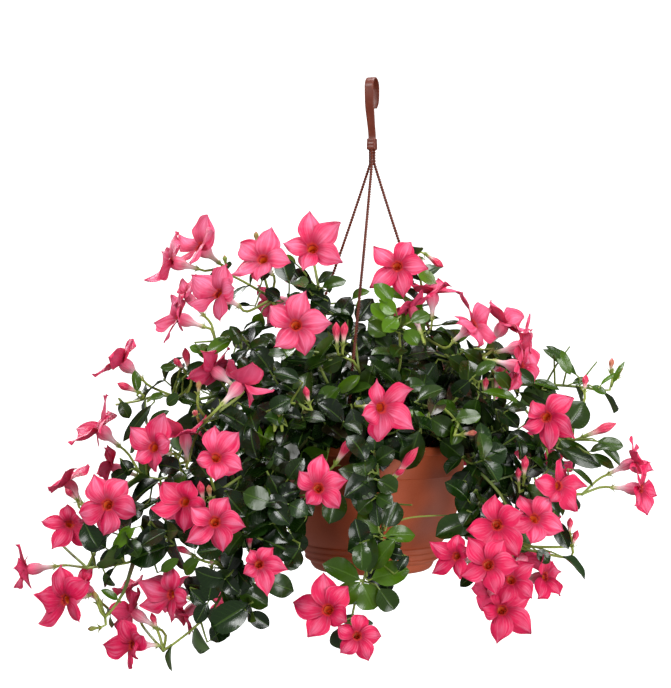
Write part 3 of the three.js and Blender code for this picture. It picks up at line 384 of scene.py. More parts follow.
# Single leaves on the sheet: the base and from there the tip, as steps right and down, the width in
# steps, and in hundredths how young the leaf is, where it isn't old. That youth is partly painted
# light: some brightly lit leaves are given it so that they come out paler green.
LEAVES: tuple = (
    (336, 391, -28, 7, 20, 5), (336, 393, 22, -16, 13, 60), (338, 400, 3, 34, 20), (326, 417, -6, 34, 23),
    (352, 408, 8, 33, 20), (302, 412, -10, 29, 18, 15), (378, 434, -11, 34, 31),
    (348, 436, -8, 34, 27, 5), (375, 479, -34, -11, 21, 10), (351, 480, 26, 38, 23),
    (337, 489, -6, 33, 24, 10), (305, 499, -15, 32, 24), (298, 490, -15, 18, 16),
    (420, 430, -14, 39, 22, 5), (426, 417, -21, -6, 11, 45), (384, 384, 29, -13, 15, 40),
    (392, 380, -20, -18, 20, 5), (345, 352, -23, -10, 22), (352, 356, 20, -20, 24),
    (330, 360, -27, 6, 18, 5), (300, 380, -24, -8, 16), (366, 392, -16, -20, 18), (404, 392, 26, 12, 20),
    (418, 400, 22, -14, 18, 10), (430, 418, 22, 14, 20, 10), (440, 440, 22, 16, 20, 5),
    (455, 420, 23, -8, 18, 20), (398, 425, 22, 15, 16), (310, 292, -18, -24, 20),
    (318, 284, 12, -14, 13, 5), (322, 288, 23, -10, 15, 20), (325, 300, -21, -12, 18),
    (330, 312, -18, -12, 22), (335, 322, 15, -24, 20), (350, 335, -16, -23, 24),
    (262, 312, -6, 18, 14, 55), (251, 306, -16, -4, 7), (262, 282, 6, -20, 12),
    (296, 264, -14, -10, 10, 50), (240, 345, -8, -18, 13, 15), (250, 349, 16, -9, 12, 15),
    (232, 340, -25, 10, 15, 45), (272, 366, -10, -14, 12, 40), (246, 372, 16, 12, 13, 10),
    (236, 356, 14, 16, 13, 10), (268, 385, -20, 15, 14, 10), (276, 345, -14, -15, 13, 10),
    (286, 355, -16, -5, 13, 5), (280, 300, -14, -10, 14), (315, 352, -19, -4, 18, 5),
    (322, 370, 18, -10, 16, 10), (356, 322, 16, -22, 18), (436, 283, -16, -11, 13, 75),
    (395, 331, -26, -21, 22, 75), (372, 316, -14, -18, 15, 80), (392, 303, -16, -18, 17, 50),
    (426, 332, -26, -21, 22, 35), (391, 352, -25, -20, 26, 5), (416, 345, -28, -9, 12),
    (412, 362, -24, -17, 20), (430, 341, 38, -7, 15, 30), (440, 325, 20, -5, 5, 10),
    (432, 352, -20, -12, 14, 10), (436, 362, -16, 26, 20), (452, 372, -12, 28, 24),
    (448, 356, 22, 16, 16, 10), (462, 350, 24, 12, 14, 15), (470, 380, -18, 16, 16),
    (405, 300, -17, -12, 14, 45), (410, 322, 20, -10, 14, 30), (482, 392, 38, 2, 13, 40),
    (478, 398, -8, 26, 22, 5), (494, 372, 18, 14, 14, 15), (515, 368, 19, 15, 13, 5),
    (475, 376, 17, -16, 12, 20), (531, 384, 26, 6, 10, 15), (519, 392, 27, 14, 12, 10),
    (577, 376, -30, -30, 13, 20), (566, 428, 18, -25, 28, 10), (597, 441, 26, 5, 13, 20),
    (560, 449, 41, 17, 16, 5), (590, 454, 28, 13, 10, 10), (571, 469, 27, 13, 9, 10),
    (591, 386, 15, 7, 8, 30), (555, 520, 12, 27, 15), (536, 550, 14, 12, 12, 5), (563, 557, 27, 16, 18),
    (499, 410, 20, 14, 18), (505, 430, 17, 20, 20), (488, 428, -18, 18, 20), (492, 450, 20, 20, 20),
    (480, 462, -18, 26, 22), (500, 470, -14, 30, 22), (512, 480, 10, 25, 20), (523, 488, 18, 7, 14, 25),
    (468, 500, -16, -20, 20), (470, 512, 20, 10, 16), (520, 440, 20, 12, 14, 10),
    (530, 458, 18, 12, 14, 10), (476, 520, -40, 10, 25, 5), (482, 530, -30, 1, 10, 30),
    (480, 570, -21, 15, 13, 5), (548, 428, -12, 18, 14, 10), (600, 386, 17, -18, 6, 50),
    (613, 384, 9, -22, 5, 50), (545, 500, 15, 16, 12, 5), (106, 548, -22, -14, 22),
    (136, 527, -24, 22, 11, 70), (133, 540, -19, 19, 9), (171, 546, -41, 10, 30),
    (100, 565, 11, -16, 8, 5), (115, 567, -15, 20, 8), (145, 505, -29, 15, 20), (160, 480, -31, 19, 20),
    (160, 500, -24, 8, 12, 5), (250, 604, -38, 24, 28), (240, 570, 6, 30, 20, 5), (214, 572, -6, 28, 20),
    (208, 602, -13, 20, 14), (240, 542, -14, 26, 22), (262, 450, -9, 37, 28, 30),
    (250, 478, 22, 22, 18, 30), (268, 474, 20, 34, 26), (276, 506, 16, 18, 18), (262, 540, 35, 11, 34),
    (270, 524, -27, 10, 20), (224, 548, -26, 4, 18), (262, 580, 33, 10, 21, 5), (240, 566, -4, 30, 22),
    (236, 588, 32, 16, 24, 10), (120, 401, 9, 17, 12, 10), (152, 404, -29, 36, 11, 5),
    (137, 392, -1, -21, 10, 30), (177, 366, -17, 2, 8, 20), (186, 374, 18, -12, 14, 5),
    (178, 384, 6, -13, 10, 10), (215, 410, 37, 14, 20), (230, 396, -18, -8, 12, 10),
    (262, 458, -26, -29, 9, 90), (262, 456, -8, -36, 10, 90), (264, 456, 8, -32, 10, 85),
    (266, 458, 18, -18, 9, 80), (180, 470, -20, -8, 20), (200, 480, 22, -14, 18),
    (196, 500, 14, 20, 16, 5), (206, 430, 18, 16, 18), (200, 404, -20, -8, 14, 10), (240, 404, 22, 8, 18),
    (270, 410, 18, -10, 18), (230, 500, 20, 12, 18), (240, 520, -18, 12, 16), (200, 560, -20, 12, 14, 30),
    (222, 590, 14, 22, 18, 10), (248, 612, 20, 14, 16), (150, 424, 14, -14, 10, 10),
    (168, 452, -18, 12, 14), (128, 470, -16, 10, 14), (140, 440, -12, 12, 10, 10),
    (290, 462, -18, -10, 18), (288, 480, 12, -20, 16, 5), (270, 440, 20, -10, 16, 10),
    (284, 424, -16, -10, 16, 5), (100, 500, 18, 12, 12), (165, 520, 15, 16, 16),
    (160, 572, 16, -12, 10, 30), (380, 533, -24, -20, 16, 30), (386, 528, 11, -25, 21, 5),
    (384, 536, 31, -3, 17, 40), (384, 540, 19, 5, 12, 5), (374, 536, -14, -3, 8), (379, 528, -3, -28, 14),
    (367, 573, -1, -36, 23, 10), (372, 570, 18, -29, 18, 30), (371, 579, 36, -10, 24, 40),
    (398, 572, 8, -16, 10), (360, 580, -34, -18, 22, 20), (360, 582, -23, 21, 20, 30),
    (362, 583, 12, 27, 25, 40), (379, 588, 17, 24, 20, 10), (340, 627, -1, 23, 18, 5),
    (404, 556, -16, -4, 12), (470, 470, -15, 22, 20), (474, 492, -16, 20, 22), (478, 505, -16, 19, 20, 5),
    (466, 484, 14, 16, 18), (462, 458, -16, 12, 18), (290, 532, 13, 20, 20), (300, 548, -12, 18, 20),
    (306, 520, -14, 16, 20), (296, 500, 16, 14, 18), (284, 552, 16, 16, 18, 5),
    (398, 318, -14, 12, 16, 60), (408, 300, 12, 14, 16, 50), (380, 300, 14, 12, 15, 70),
    (404, 330, 14, 12, 16, 40), (368, 322, 16, 12, 18, 30), (388, 318, -16, -14, 14, 60),
    (352, 300, 14, -12, 12, 50), (150, 400, 13, -8, 9, 30), (180, 395, -14, 9, 12, 10),
    (196, 345, 14, 11, 14, 30), (205, 352, -15, -6, 10, 40), (120, 460, 12, 14, 14),
    (150, 520, 14, -14, 16), (118, 600, -14, -10, 8, 30), (210, 640, 16, -14, 18), (226, 560, 14, 14, 20),
    (190, 590, 14, 14, 16), (216, 620, 16, 14, 18), (250, 560, 12, 16, 16), (520, 380, -15, -8, 12, 20),
    (545, 390, 18, 6, 10, 10), (572, 384, 18, -6, 9, 20), (566, 360, -16, -14, 8, 10),
    (508, 410, 18, -6, 14, 10), (530, 446, -15, -12, 16), (548, 470, 14, -14, 14, 5),
    (590, 452, 16, -8, 10, 10), (372, 452, -16, -12, 18), (376, 462, 16, -12, 18, 5),
    (368, 474, -16, 12, 20, 10), (378, 480, 18, 8, 20, 10), (372, 500, -14, 12, 16, 10),
    (376, 496, 16, 8, 16, 10), (374, 452, 2, -18, 16), (373, 470, -7, -14, 14), (84, 522, 12, 26, 20),
    (150, 524, 2, 36, 27), (128, 540, 10, 16, 16, 10), (118, 546, 10, -18, 12, 70),
    (104, 572, 8, 18, 10, 10), (556, 348, 16, 24, 12, 40), (530, 382, 30, 4, 10, 30),
    (598, 441, 24, 21, 12, 10), (560, 440, 32, 22, 16, 10),
)

# Gaps in the foliage as seen from the front: the middle across and up, and the radius.
GAPS: tuple = (
    (252, -393, 34), (306, -357, 26), (330, -384, 22), (262, -352, 22), (199, -444, 20),
    (-271, -440, 20), (-350, -457, 20), (-330, -478, 16), (-245, -437, 10), (-338, -410, 16),
    (71, -531, 30), (80, -571, 28), (44, -565, 16), (64, -634, 22), (-56, -592, 26),
    (-72, -632, 18), (107, -551, 16), (315, -401, 16), (289, -538, 16),
)

# Thin bare runners of a shoot.
RUNNERS: dict[str, tuple] = {
    "front": (
        ((4, -176, -606), (24, -170, -598), (48, -160, -589), (80, -140, -586), (122, -106, -585)),
    ),
}


# ---- paths and lofts
def seed_of(name: str) -> Draws:
    """Returns random draws that are always the same for a name."""
    return np.random.default_rng(zlib.crc32(name.encode()))


def unit(vectors: Array) -> Array:
    """Returns vectors at length one."""
    return vectors / np.linalg.norm(vectors, axis=-1, keepdims=True)


def split(offset: Array, ways: Array) -> tuple[Array, Array]:
    """Returns how far offsets go along directions, and how far they lie off those lines."""
    ahead = (offset * ways).sum(-1)
    return ahead, np.linalg.norm(offset - ahead[..., None] * ways, axis=-1)


def square_to(guide: Array, along: Array) -> Array:
    """Returns the unit part of guide that is square to along."""
    return unit(guide - along * (guide * along).sum(-1, keepdims=True))


def depth_ratio(depth: float | Array) -> float | Array:
    """Returns how much larger a length is at a depth than it looks on the elevation."""
    return (depth - EYE[1]) / -EYE[1]


def place(spots: tuple | Array) -> Array:
    """Turns places on the front elevation into positions, carried away from EYE by their depth.

    Args:
        spots: Rows of [across, depth, height].

    Returns:
        Rows of [x, y, z].
    """
    spots = np.asarray(spots, float)
    found = EYE + (spots - EYE) * depth_ratio(spots[..., 1:2])
    found[..., 1] = spots[..., 1]
    return found


def on_sheet(steps: tuple | Array) -> Array:
    """Turns steps right and down on the sheet into places across and up."""
    return SHEET_CORNER + np.asarray(steps, float) * [SHEET_STEP, -SHEET_STEP]


def full_turn(sides: int) -> Array:
    """Returns evenly spaced angles all the way round."""
    return np.linspace(0, 2 * np.pi, sides, endpoint=False)


def rounded_square(angle: Array, power: tuple[float, float]) -> tuple[Array, Array]:
    """Returns a section whose two coordinates are the cosine and sine to a power, sign kept."""
    waves = (np.cos(angle), np.sin(angle))
    return tuple(np.sign(wave) * np.abs(wave) ** p for wave, p in zip(waves, power))


def facing(heading: float, toward: float) -> Array:
    """Returns the direction at a heading (0 right, 90 up) that leans towards the front."""
    turn, lean = math.radians(heading), math.radians(toward)
    return np.array([math.cos(lean) * math.cos(turn), -math.sin(lean), math.cos(lean) * math.sin(turn)])


@dataclass
class Path:
    """A smooth path through points, read by the share of its length.

    Each span is the cubic whose slope at a point is half the step between the neighbours on
    both sides. Past the ends, the neighbour is the mirror image of the last step.
    """

    points: Array
    steps: int = 16
    line: Array = field(init=False)
    run: Array = field(init=False)

    def __post_init__(self) -> None:
        """Works out a fine line through the points and the length run along it."""
        given = np.asarray(self.points, float)
        padded = np.vstack([2 * given[0] - given[1], given, 2 * given[-1] - given[-2]])
        t = np.linspace(0, 1, self.steps, endpoint=False)[None, :, None]
        a, b, c, d = (padded[i : len(given) - 1 + i, None] for i in range(4))
        cubic = b + t / 2 * (c - a + t * (2 * a - 5 * b + 4 * c - d + t * (3 * (b - c) + d - a)))
        self.line = np.vstack([cubic.reshape(-1, 3), given[-1:]])
        steps = np.linalg.norm(np.diff(self.line, axis=0), axis=1)
        self.run = np.concatenate([[0], np.cumsum(steps)])

    @property
    def length(self) -> float:
        """The path's length."""
        return float(self.run[-1])

    def at(self, shares: Array) -> Array:
        """Returns the positions at shares of the length."""
        runs = np.clip(shares, 0, 1) * self.length
        return np.stack([np.interp(runs, self.run, self.line[:, i]) for i in range(3)], -1)

    def along(self, shares: Array) -> Array:
        """Returns the directions at shares of the length, over a short chord around each."""
        reach = 2.5 / self.length
        low, high = np.clip(shares - reach, 0, 1), np.clip(shares + reach, 0, 1)
        return unit(self.at(high) - self.at(low))

    def nearest(self, point: Array) -> Array:
        """Returns the path's point that is nearest to a point."""
        return self.line[np.argmin(np.linalg.norm(self.line - point, axis=1))]

    def axes(self, shares: Array) -> tuple[Array, Array]:
        """Returns two directions square to the path at each share.

        The first is square to the direction in which the line spreads least, so that it never
        turns over on the way.
        """
        spread = self.line - self.line.mean(0)
        least = np.linalg.eigh(spread.T @ spread)[1][:, 0]
        along = self.along(shares)
        side = square_to(np.broadcast_to(least, along.shape), along)
        return side, np.cross(along, side)


def tube(path: Path, radii: Array, sides: int = 6) -> Array:
    """Rings of a round bar: at each share the centre plus the radius round the two axes.

    Args:
        path: Its middle line.
        radii: Its radius at evenly spaced shares.
        sides: How many points go round.

    Returns:
        Points of shape (rings, sides, 3).
    """
    shares = np.linspace(0, 1, len(radii))
    first, second = path.axes(shares)
    angle = full_turn(sides)[None, :, None]
    round_it = first[:, None] * np.cos(angle) + second[:, None] * np.sin(angle)
    return path.at(shares)[:, None] + np.asarray(radii)[:, None, None] * round_it


def turned(profile: Array, sides: int, lobes: float = 0) -> Array:
    """Rings of a body turned about Z: each profile point's radius carried round the axis.

    Args:
        profile: Points of [radius, height], from one end of the axis to the other.
        sides: How many points go round.
        lobes: How much the radius swells five times on the way round, as a share.

    Returns:
        Points of shape (profile points, sides, 3).
    """
    profile, angle = np.asarray(profile, float), full_turn(sides)
    radius = profile[:, :1] * (1 + lobes * np.cos(5 * angle))
    height = np.broadcast_to(profile[:, 1:], radius.shape)
    return np.stack([radius * np.cos(angle), radius * np.sin(angle), height], -1)


@dataclass(frozen=True)
class Stand:
    """A place where something stands, and three directions square to each other."""

    foot: Array
    first: Array
    second: Array
    along: Array

    @classmethod
    def facing(cls, foot: Array, along: Array, guide: Array) -> Stand:
        """Stands something up along a direction, with its first direction nearest to a guide."""
        first = square_to(guide, along)
        return cls(foot, first, np.cross(along, first), along)

    def carry(self, rings: Array) -> Array:
        """Carries rings made about the origin to the stand, with X, Y and Z along its directions."""
        x, y, z = (rings[..., i, None] for i in range(3))
        return self.foot + x * self.first + y * self.second + z * self.along


def eased(table: tuple[tuple[float, float], ...], at: Array) -> Array:
    """Reads a table of [place, value] at any places, with a soft bend at each entry."""
    places, values = np.array(table).T
    shift = 0.014 * (places[-1] - places[0])
    reads = [np.interp(at + step, places, values) for step in (-shift, 0, shift)]
    return sum(reads) / len(reads)


def lens(columns: int) -> tuple[Array, Array]:
    """The way round a thin blade's section: over the top from edge to edge and back below.

    Args:
        columns: How many points lie on the top, both edges included.

    Returns:
        How far across each point is, from -1 to 1, and its side: 1 on top, -1 below.
    """
    top = np.linspace(-1, 1, columns)
    across = np.concatenate([top, top[-2:0:-1]])
    side = np.concatenate([np.ones(columns), -np.ones(columns - 2)])
    return across, side


def enclosed(corners: Array) -> Array:
    """Returns six times the volume under polygons, as a fan of triangles from the origin."""
    first, second, third = corners[..., :1, :], corners[..., 1:-1, :], corners[..., 2:, :]
    return (first * np.cross(second, third)).sum((-1, -2))


@dataclass
class Form:
    """A mesh in the making: lofted bodies, each with its finish and its marks."""

    materials: ClassVar[dict[Finish, bpy.types.Material]] = {}
    name: str
    bodies: list[tuple[Array, Finish, dict[str, Array]]] = field(default_factory=list)

    def add(self, rings: Array, finish: Finish, **marks: Array | float) -> None:
        """Adds closed bodies whose walls run from ring to ring and whose ends are capped.

        Args:
            rings: Points of shape (rings, points, 3), or with a leading number of bodies.
            finish: What the bodies are made of.
            marks: Values for the finish to read, in any shape that spreads over the points.
        """
        rings = rings if rings.ndim == 4 else rings[None]
        spread = {
            key: np.broadcast_to(np.asarray(value, float), rings.shape[:3])
            for key, value in marks.items()
        }
        self.bodies.append((rings, finish, spread))

    def polygons(self, rings: Array, start: int) -> list[Array]:
        """Numbers the corners of one lot of bodies, with every face pointing outwards.

        Args:
            rings: Points of shape (bodies, rings, points, 3).
            start: The number of the first point.

        Returns:
            The walls' corners and the two caps' corners, one row for each face.
        """
        index = start + np.arange(rings[..., 0].size).reshape(rings.shape[:3])
        ahead = np.roll(index, -1, axis=2)
        walls = np.stack([index[:, :-1], ahead[:, :-1], ahead[:, 1:], index[:, 1:]], -1)
        caps = np.stack([index[:, 0, ::-1], index[:, -1]], 1)
        flat = (rings - rings.mean((1, 2), keepdims=True)).reshape(-1, 3)
        volume = enclosed(flat[walls - start]).sum((1, 2)) + enclosed(flat[caps - start]).sum(1)
        for corners in (walls, caps):
            corners[volume < 0] = corners[volume < 0][..., ::-1]
        return [walls.reshape(-1, 4), caps.reshape(-1, caps.shape[-1])]

    def build(self, sharp: float = 48) -> bpy.types.Object:
        """Makes the mesh object.

        Args:
            sharp: The angle between faces, in degrees, past which an edge isn't smoothed.

        Returns:
            The object, with one material slot for each finish it uses.
        """
        finishes = list(dict.fromkeys(finish for _, finish, _ in self.bodies))
        faces, slots, start = [], [], 0
        for rings, finish, _ in self.bodies:
            for corners in self.polygons(rings, start):
                faces.append(corners)
                slots.append(np.full(len(corners), finishes.index(finish)))
            start += rings[..., 0].size
        mesh = bpy.data.meshes.new(self.name)
        mesh.vertices.add(start)
        points = np.concatenate([rings.reshape(-1, 3) for rings, _, _ in self.bodies]) * MM
        mesh.vertices.foreach_set("co", points.astype(np.float32).ravel())
        corners = np.concatenate([rows.ravel() for rows in faces])
        counts = np.concatenate([np.full(len(rows), rows.shape[1]) for rows in faces])
        mesh.loops.add(len(corners))
        mesh.loops.foreach_set("vertex_index", corners.astype(np.int32))
        mesh.polygons.add(len(counts))
        mesh.polygons.foreach_set("loop_start", (np.cumsum(counts) - counts).astype(np.int32))
        mesh.polygons.foreach_set("material_index", np.concatenate(slots).astype(np.int32))
        mesh.polygons.foreach_set("use_smooth", np.ones(len(counts), bool))
        for key in sorted({key for *_, marks in self.bodies for key in marks}):
            values = [marks.get(key, np.zeros(rings.shape[:3])) for rings, _, marks in self.bodies]
            mark = mesh.attributes.new(key, "FLOAT", "POINT")
            joined = np.concatenate([value.ravel() for value in values])
            mark.data.foreach_set("value", joined.astype(np.float32))
        mesh.update(calc_edges=True)
        mesh.set_sharp_from_angle(angle=math.radians(sharp))
        for finish in finishes:
            mesh.materials.append(self.materials[finish])
        piece = bpy.data.objects.new(self.name, mesh)
        bpy.context.scene.collection.objects.link(piece)
        LOG.info("%s: %d faces", self.name, len(counts))
        return piece


def settle(piece: bpy.types.Object, slot: Slot, *nodes: str) -> None:
    """Fixes a piece to the part: it rides on the root and stands for the given CAD nodes."""
    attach(piece, "root")
    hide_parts(*nodes)


# ---- finishes
def tint(red: int, green: int, blue: int) -> tuple[float, float, float, float]:
    """Returns a screen colour of 0 to 255 as linear light."""
    parts = [value / 255 for value in (red, green, blue)]
    return (*(v / 12.92 if v <= 0.04045 else ((v + 0.055) / 1.055) ** 2.4 for v in parts), 1)


@dataclass(frozen=True)
class Wire:
    """A value in a finish's node tree, with arithmetic."""

    shader: Shader
    socket: bpy.types.NodeSocket

    def math(self, operation: str, *values: Wire | float) -> Wire:
        """Returns a Math node's result on this value and others."""
        inputs = dict(enumerate((self, *values)))
        return self.shader.node("ShaderNodeMath", {"operation": operation}, inputs)

    def __add__(self, other: Wire | float) -> Wire:
        """Returns the sum."""
        return self.math("ADD", other)

    __radd__ = __add__

    def __mul__(self, other: Wire | float) -> Wire:
        """Returns the product."""
        return self.math("MULTIPLY", other)

    __rmul__ = __mul__

    def __sub__(self, other: Wire | float) -> Wire:
        """Returns the difference."""
        return self.math("SUBTRACT", other)

    def __rsub__(self, other: float) -> Wire:
        """Returns a number less this value."""
        return self * -1 + other

    def __abs__(self) -> Wire:
        """Returns the value without its sign."""
        return self.math("ABSOLUTE")

    def step(self, low: float, high: float) -> Wire:
        """Returns a soft step that goes from 0 at low to 1 at high."""
        return self.shader.node(
            "ShaderNodeMapRange",
            {"interpolation_type": "SMOOTHSTEP"},
            {"Value": self, "From Min": low, "From Max": high},
        )


class Shader:
    """The node tree of one finish."""

    def __init__(self, name: str) -> None:
        """Starts an empty material."""
        self.material = bpy.data.materials.new(name)
        self.material.use_nodes = True
        self.tree = self.material.node_tree
        self.tree.nodes.clear()

    def node(
        self,
        kind: str,
        settings: dict[str, object] | None = None,
        inputs: dict[str | int, object] | None = None,
        output: str | int = 0,
    ) -> Wire:
        """Makes a node.

        Args:
            kind: The node's type.
            settings: Its own settings, which are set first.
            inputs: The value or link of each socket, by name or number.
            output: The socket that is returned.

        Returns:
            The chosen output.
        """
        made = self.tree.nodes.new(kind)
        for key, value in (settings or {}).items():
            setattr(made, key, value)
        for key, value in (inputs or {}).items():
            if isinstance(value, Wire):
                self.tree.links.new(value.socket, made.inputs[key])
            else:
                made.inputs[key].default_value = value
        return Wire(self, made.outputs[output]) if made.outputs else Wire(self, None)

    def mark(self, name: str) -> Wire:
        """Returns a mark that the mesh carries."""
        return self.node("ShaderNodeAttribute", {"attribute_name": name}, output="Fac")

    def place(self) -> Wire:
        """Returns the place on the object, in metres."""
        return self.node("ShaderNodeTexCoord", output="Object")

    def vector(self, x: Wire | float, y: Wire | float, z: Wire | float) -> Wire:
        """Returns a vector of three values."""
        return self.node("ShaderNodeCombineXYZ", {}, {0: x, 1: y, 2: z})

    def noise(self, where: Wire, scale: float, detail: float = 2, rough: float = 0.5) -> Wire:
        """Returns a noise of 0 to 1 at a place."""
        inputs = {"Vector": where, "Scale": scale, "Detail": detail, "Roughness": rough}
        return self.node("ShaderNodeTexNoise", {}, inputs)

    def blend(self, share: Wire | float, low: Wire | tuple, high: Wire | tuple) -> Wire:
        """Returns a colour between two, high where share is 1."""
        settings = {"data_type": "RGBA", "clamp_factor": True}
        return self.node("ShaderNodeMix", settings, {0: share, 6: low, 7: high}, output=2)

    def bump(self, height: Wire, depth: float, strength: float = 1) -> Wire:
        """Returns normals for a height of 0 to 1 over a depth in millimetres."""
        inputs = {"Height": height, "Distance": depth * MM, "Strength": strength}
        return self.node("ShaderNodeBump", {}, inputs)

    def finish(self, **sockets: object) -> bpy.types.Material:
        """Closes the tree with a Principled shader.

        Args:
            sockets: Its values or links, with an underscore for each space in a name.

        Returns:
            The material.
        """
        inputs = {key.replace("_", " "): value for key, value in sockets.items()}
        shader = self.node("ShaderNodeBsdfPrincipled", {}, inputs)
        self.node("ShaderNodeOutputMaterial", {}, {"Surface": shader})
        return self.material


@dataclass(frozen=True)
class PetalFinish:
    """Satin petals: fine veins from the throat, a painted highlight down each petal's middle and a deeper
    foot.
    """

    pink: tuple = tint(226, 22, 84)
    pale: tuple = tint(255, 144, 182)
    deep: tuple = tint(140, 0, 38)
    under: tuple = tint(218, 66, 112)
    heart: tuple = tint(214, 50, 24)
    veins: float = 5.0

    def make(self) -> bpy.types.Material:
        """Returns the material."""
        s = Shader(Finish.PETAL.value)
        along, across, tone, side = (s.mark(n) for n in ("along", "across", "tone", "side"))
        fan = s.noise(s.vector(across * self.veins, along * 0.9, tone * 7), 1, 3, 0.6)
        fine = s.noise(s.vector(across * 34, along * 2.2, tone * 11), 1, 1)
        # Painted highlight: a paler band down the middle of each petal, which leaves its edges darker as
        # painted shade.
        painted_highlight = (1 - abs(across * 1.25)).step(0.05, 1) * along.step(0.15, 0.6)
        cloud = s.noise(s.place(), 60, 2)
        # The tone mark pales the petals; on higher flowers that part is painted light from above.
        highlight_and_tone = painted_highlight * 0.4 + fan.step(0.35, 0.75) * 0.5 + tone * 0.5 + cloud * 0.7 - 0.64
        face = s.blend(highlight_and_tone, self.pink, self.pale)
        face = s.blend(fine.step(0.5, 0.8) * 0.16, face, self.deep)
        foot = 1 - along.step(0, 0.42)
        face = s.blend(foot * 0.55 + fan * foot * 0.35, face, self.deep)
        face = s.blend((1 - along.step(0, 0.1)) * 0.8, face, self.heart)
        colour = s.blend((1 - side) * 0.6, face, self.under)
        height = fan * 0.7 + fine * 0.3
        return s.finish(
            Base_Color=colour,
            Roughness=fan * 0.2 + 0.42,
            Normal=s.bump(height, 1, 1.6),
            Specular_IOR_Level=0.28,
            Subsurface_Weight=0.06,
            Subsurface_Radius=(1, 0.35, 0.3),
            Subsurface_Scale=0.003,
        )


@dataclass(frozen=True)
class FunnelFinish:
    """Flower tubes: green foot, white and pink streaks, and an orange throat inside."""

    foot: tuple = tint(176, 186, 92)
    white: tuple = tint(248, 218, 222)
    pink: tuple = tint(240, 104, 142)
    rim: tuple = tint(206, 36, 70)
    orange: tuple = tint(240, 118, 26)
    heart: tuple = tint(214, 78, 16)

    def make(self) -> bpy.types.Material:
        """Returns the material."""
        s = Shader(Finish.FUNNEL.value)
        along, around, tone = (s.mark(n) for n in ("along", "across", "tone"))
        streak = s.noise(s.vector(around * 15, along * 0.7, tone * 9), 1, 2)
        colour = s.blend(along.step(0.1, 0.36), self.foot, self.white)
        colour = s.blend((along + streak * 0.5).step(0.45, 1.05), colour, self.pink)
        colour = s.blend(streak.step(0.5, 0.75) * along.step(0.3, 0.8) * 0.45, colour, self.rim)
        inner = s.blend(along.step(1.06, 1.2), self.rim, self.orange)
        inner = s.blend(along.step(1.3, 1.75) * 0.8, inner, self.heart)
        colour = s.blend(along.step(0.97, 1), colour, inner)
        return s.finish(
            Base_Color=colour,
            Roughness=streak * 0.15 + 0.42,
            Normal=s.bump(streak, 0.4, 0.5),
            Sheen_Weight=0.2,
            Specular_IOR_Level=0.4,
            Subsurface_Weight=0.1,
            Subsurface_Radius=(1, 0.6, 0.5),
            Subsurface_Scale=0.003,
        )


@dataclass(frozen=True)
class BudFinish:
    """Furled buds: green foot running into pink, with spiral furrows."""

    green: tuple = tint(150, 172, 74)
    pale: tuple = tint(244, 196, 190)
    pink: tuple = tint(222, 44, 88)
    tip: tuple = tint(176, 22, 58)

    def make(self) -> bpy.types.Material:
        """Returns the material. The mark youth is 1 on buds that are still green."""
        s = Shader(Finish.BUD.value)
        along, around, youth = (s.mark(n) for n in ("along", "across", "youth"))
        furrow = (around * 5 + along * 3.2).math("PINGPONG", 0.5) * 2
        ripe = s.blend(along.step(0.12, 0.36), self.green, self.pale)
        ripe = s.blend(along.step(0.26, 0.58), ripe, self.pink)
        ripe = s.blend(furrow.step(0.45, 1) * along.step(0.3, 0.9) * 0.7, ripe, self.tip)
        green = s.blend(along.step(0.75, 1) * 0.7, self.green, self.pink)
        return s.finish(
            Base_Color=s.blend(youth, ripe, green),
            Roughness=furrow * 0.1 + 0.36,
            Normal=s.bump(1 - furrow, 0.5, 0.7),
            Sheen_Weight=0.15,
        )


@dataclass(frozen=True)
class LeafFinish:
    """Glossy leaves: pale midrib, faint side veins, mottled green, matt paler underside."""

    dark: tuple = tint(9, 22, 7)
    green: tuple = tint(28, 57, 11)
    young: tuple = tint(104, 150, 20)
    under: tuple = tint(62, 88, 34)
    rib: tuple = tint(92, 126, 46)
    bronze: tuple = tint(62, 44, 34)
    veins: float = 8.0

    def make(self) -> bpy.types.Material:
        """Returns the material. The mark youth is 1 on leaves that have just opened; on some single leaves
        it is painted light, which makes brightly lit leaves paler green.
        """
        s = Shader(Finish.LEAF.value)
        names = ("along", "across", "tone", "side", "youth")
        along, across, tone, side, youth = (s.mark(n) for n in names)
        edge = abs(across)
        rib = 1 - edge.step(0.03, 0.11)
        wave = (along * self.veins - edge * 1.5).math("PINGPONG", 0.5)
        vein = (1 - wave.step(0.02, 0.13)) * edge.step(0.05, 0.2) * (1 - edge.step(0.7, 1))
        mottle = s.noise(s.place(), 55, 3, 0.6)
        face = s.blend(tone * 0.7 + mottle * 0.5 - 0.2, self.dark, self.green)
        face = s.blend(tone.step(0.86, 0.95) * 0.7, face, self.bronze)
        face = s.blend(youth, face, self.young)
        face = s.blend(rib * 0.3 + vein * 0.04, face, self.rib)
        colour = s.blend(1 - side, face, self.under)
        grain = s.noise(s.place(), 900, 1)
        height = mottle * 0.2 - rib * 0.6 - vein * 0.07 + grain * 0.03
        return s.finish(
            Base_Color=colour,
            Roughness=(1 - side) * 0.35 + mottle * 0.12 + 0.17,
            Normal=s.bump(height, 1, 0.5),
            Specular_IOR_Level=0.42,
            Coat_Weight=side * 0.12,
            Coat_Roughness=0.1,
        )


@dataclass(frozen=True)
class StemFinish:
    """Stems and stalks: woody near the soil and fresh green further out."""

    wood: tuple = tint(80, 60, 36)
    green: tuple = tint(78, 104, 36)
    fresh: tuple = tint(150, 166, 72)

    def make(self) -> bpy.types.Material:
        """Returns the material. The mark youth goes from 0 on wood to 1 on fresh growth."""
        s = Shader(Finish.STEM.value)
        youth = s.mark("youth")
        bark = s.noise(s.place(), 420, 3)
        colour = s.blend(youth.step(0, 0.5), self.wood, self.green)
        colour = s.blend(youth.step(0.45, 1), colour, self.fresh)
        colour = s.blend(bark.step(0.5, 0.8) * 0.35, colour, self.wood)
        return s.finish(Base_Color=colour, Roughness=0.62 - youth * 0.22, Normal=s.bump(bark, 0.4, 0.6))


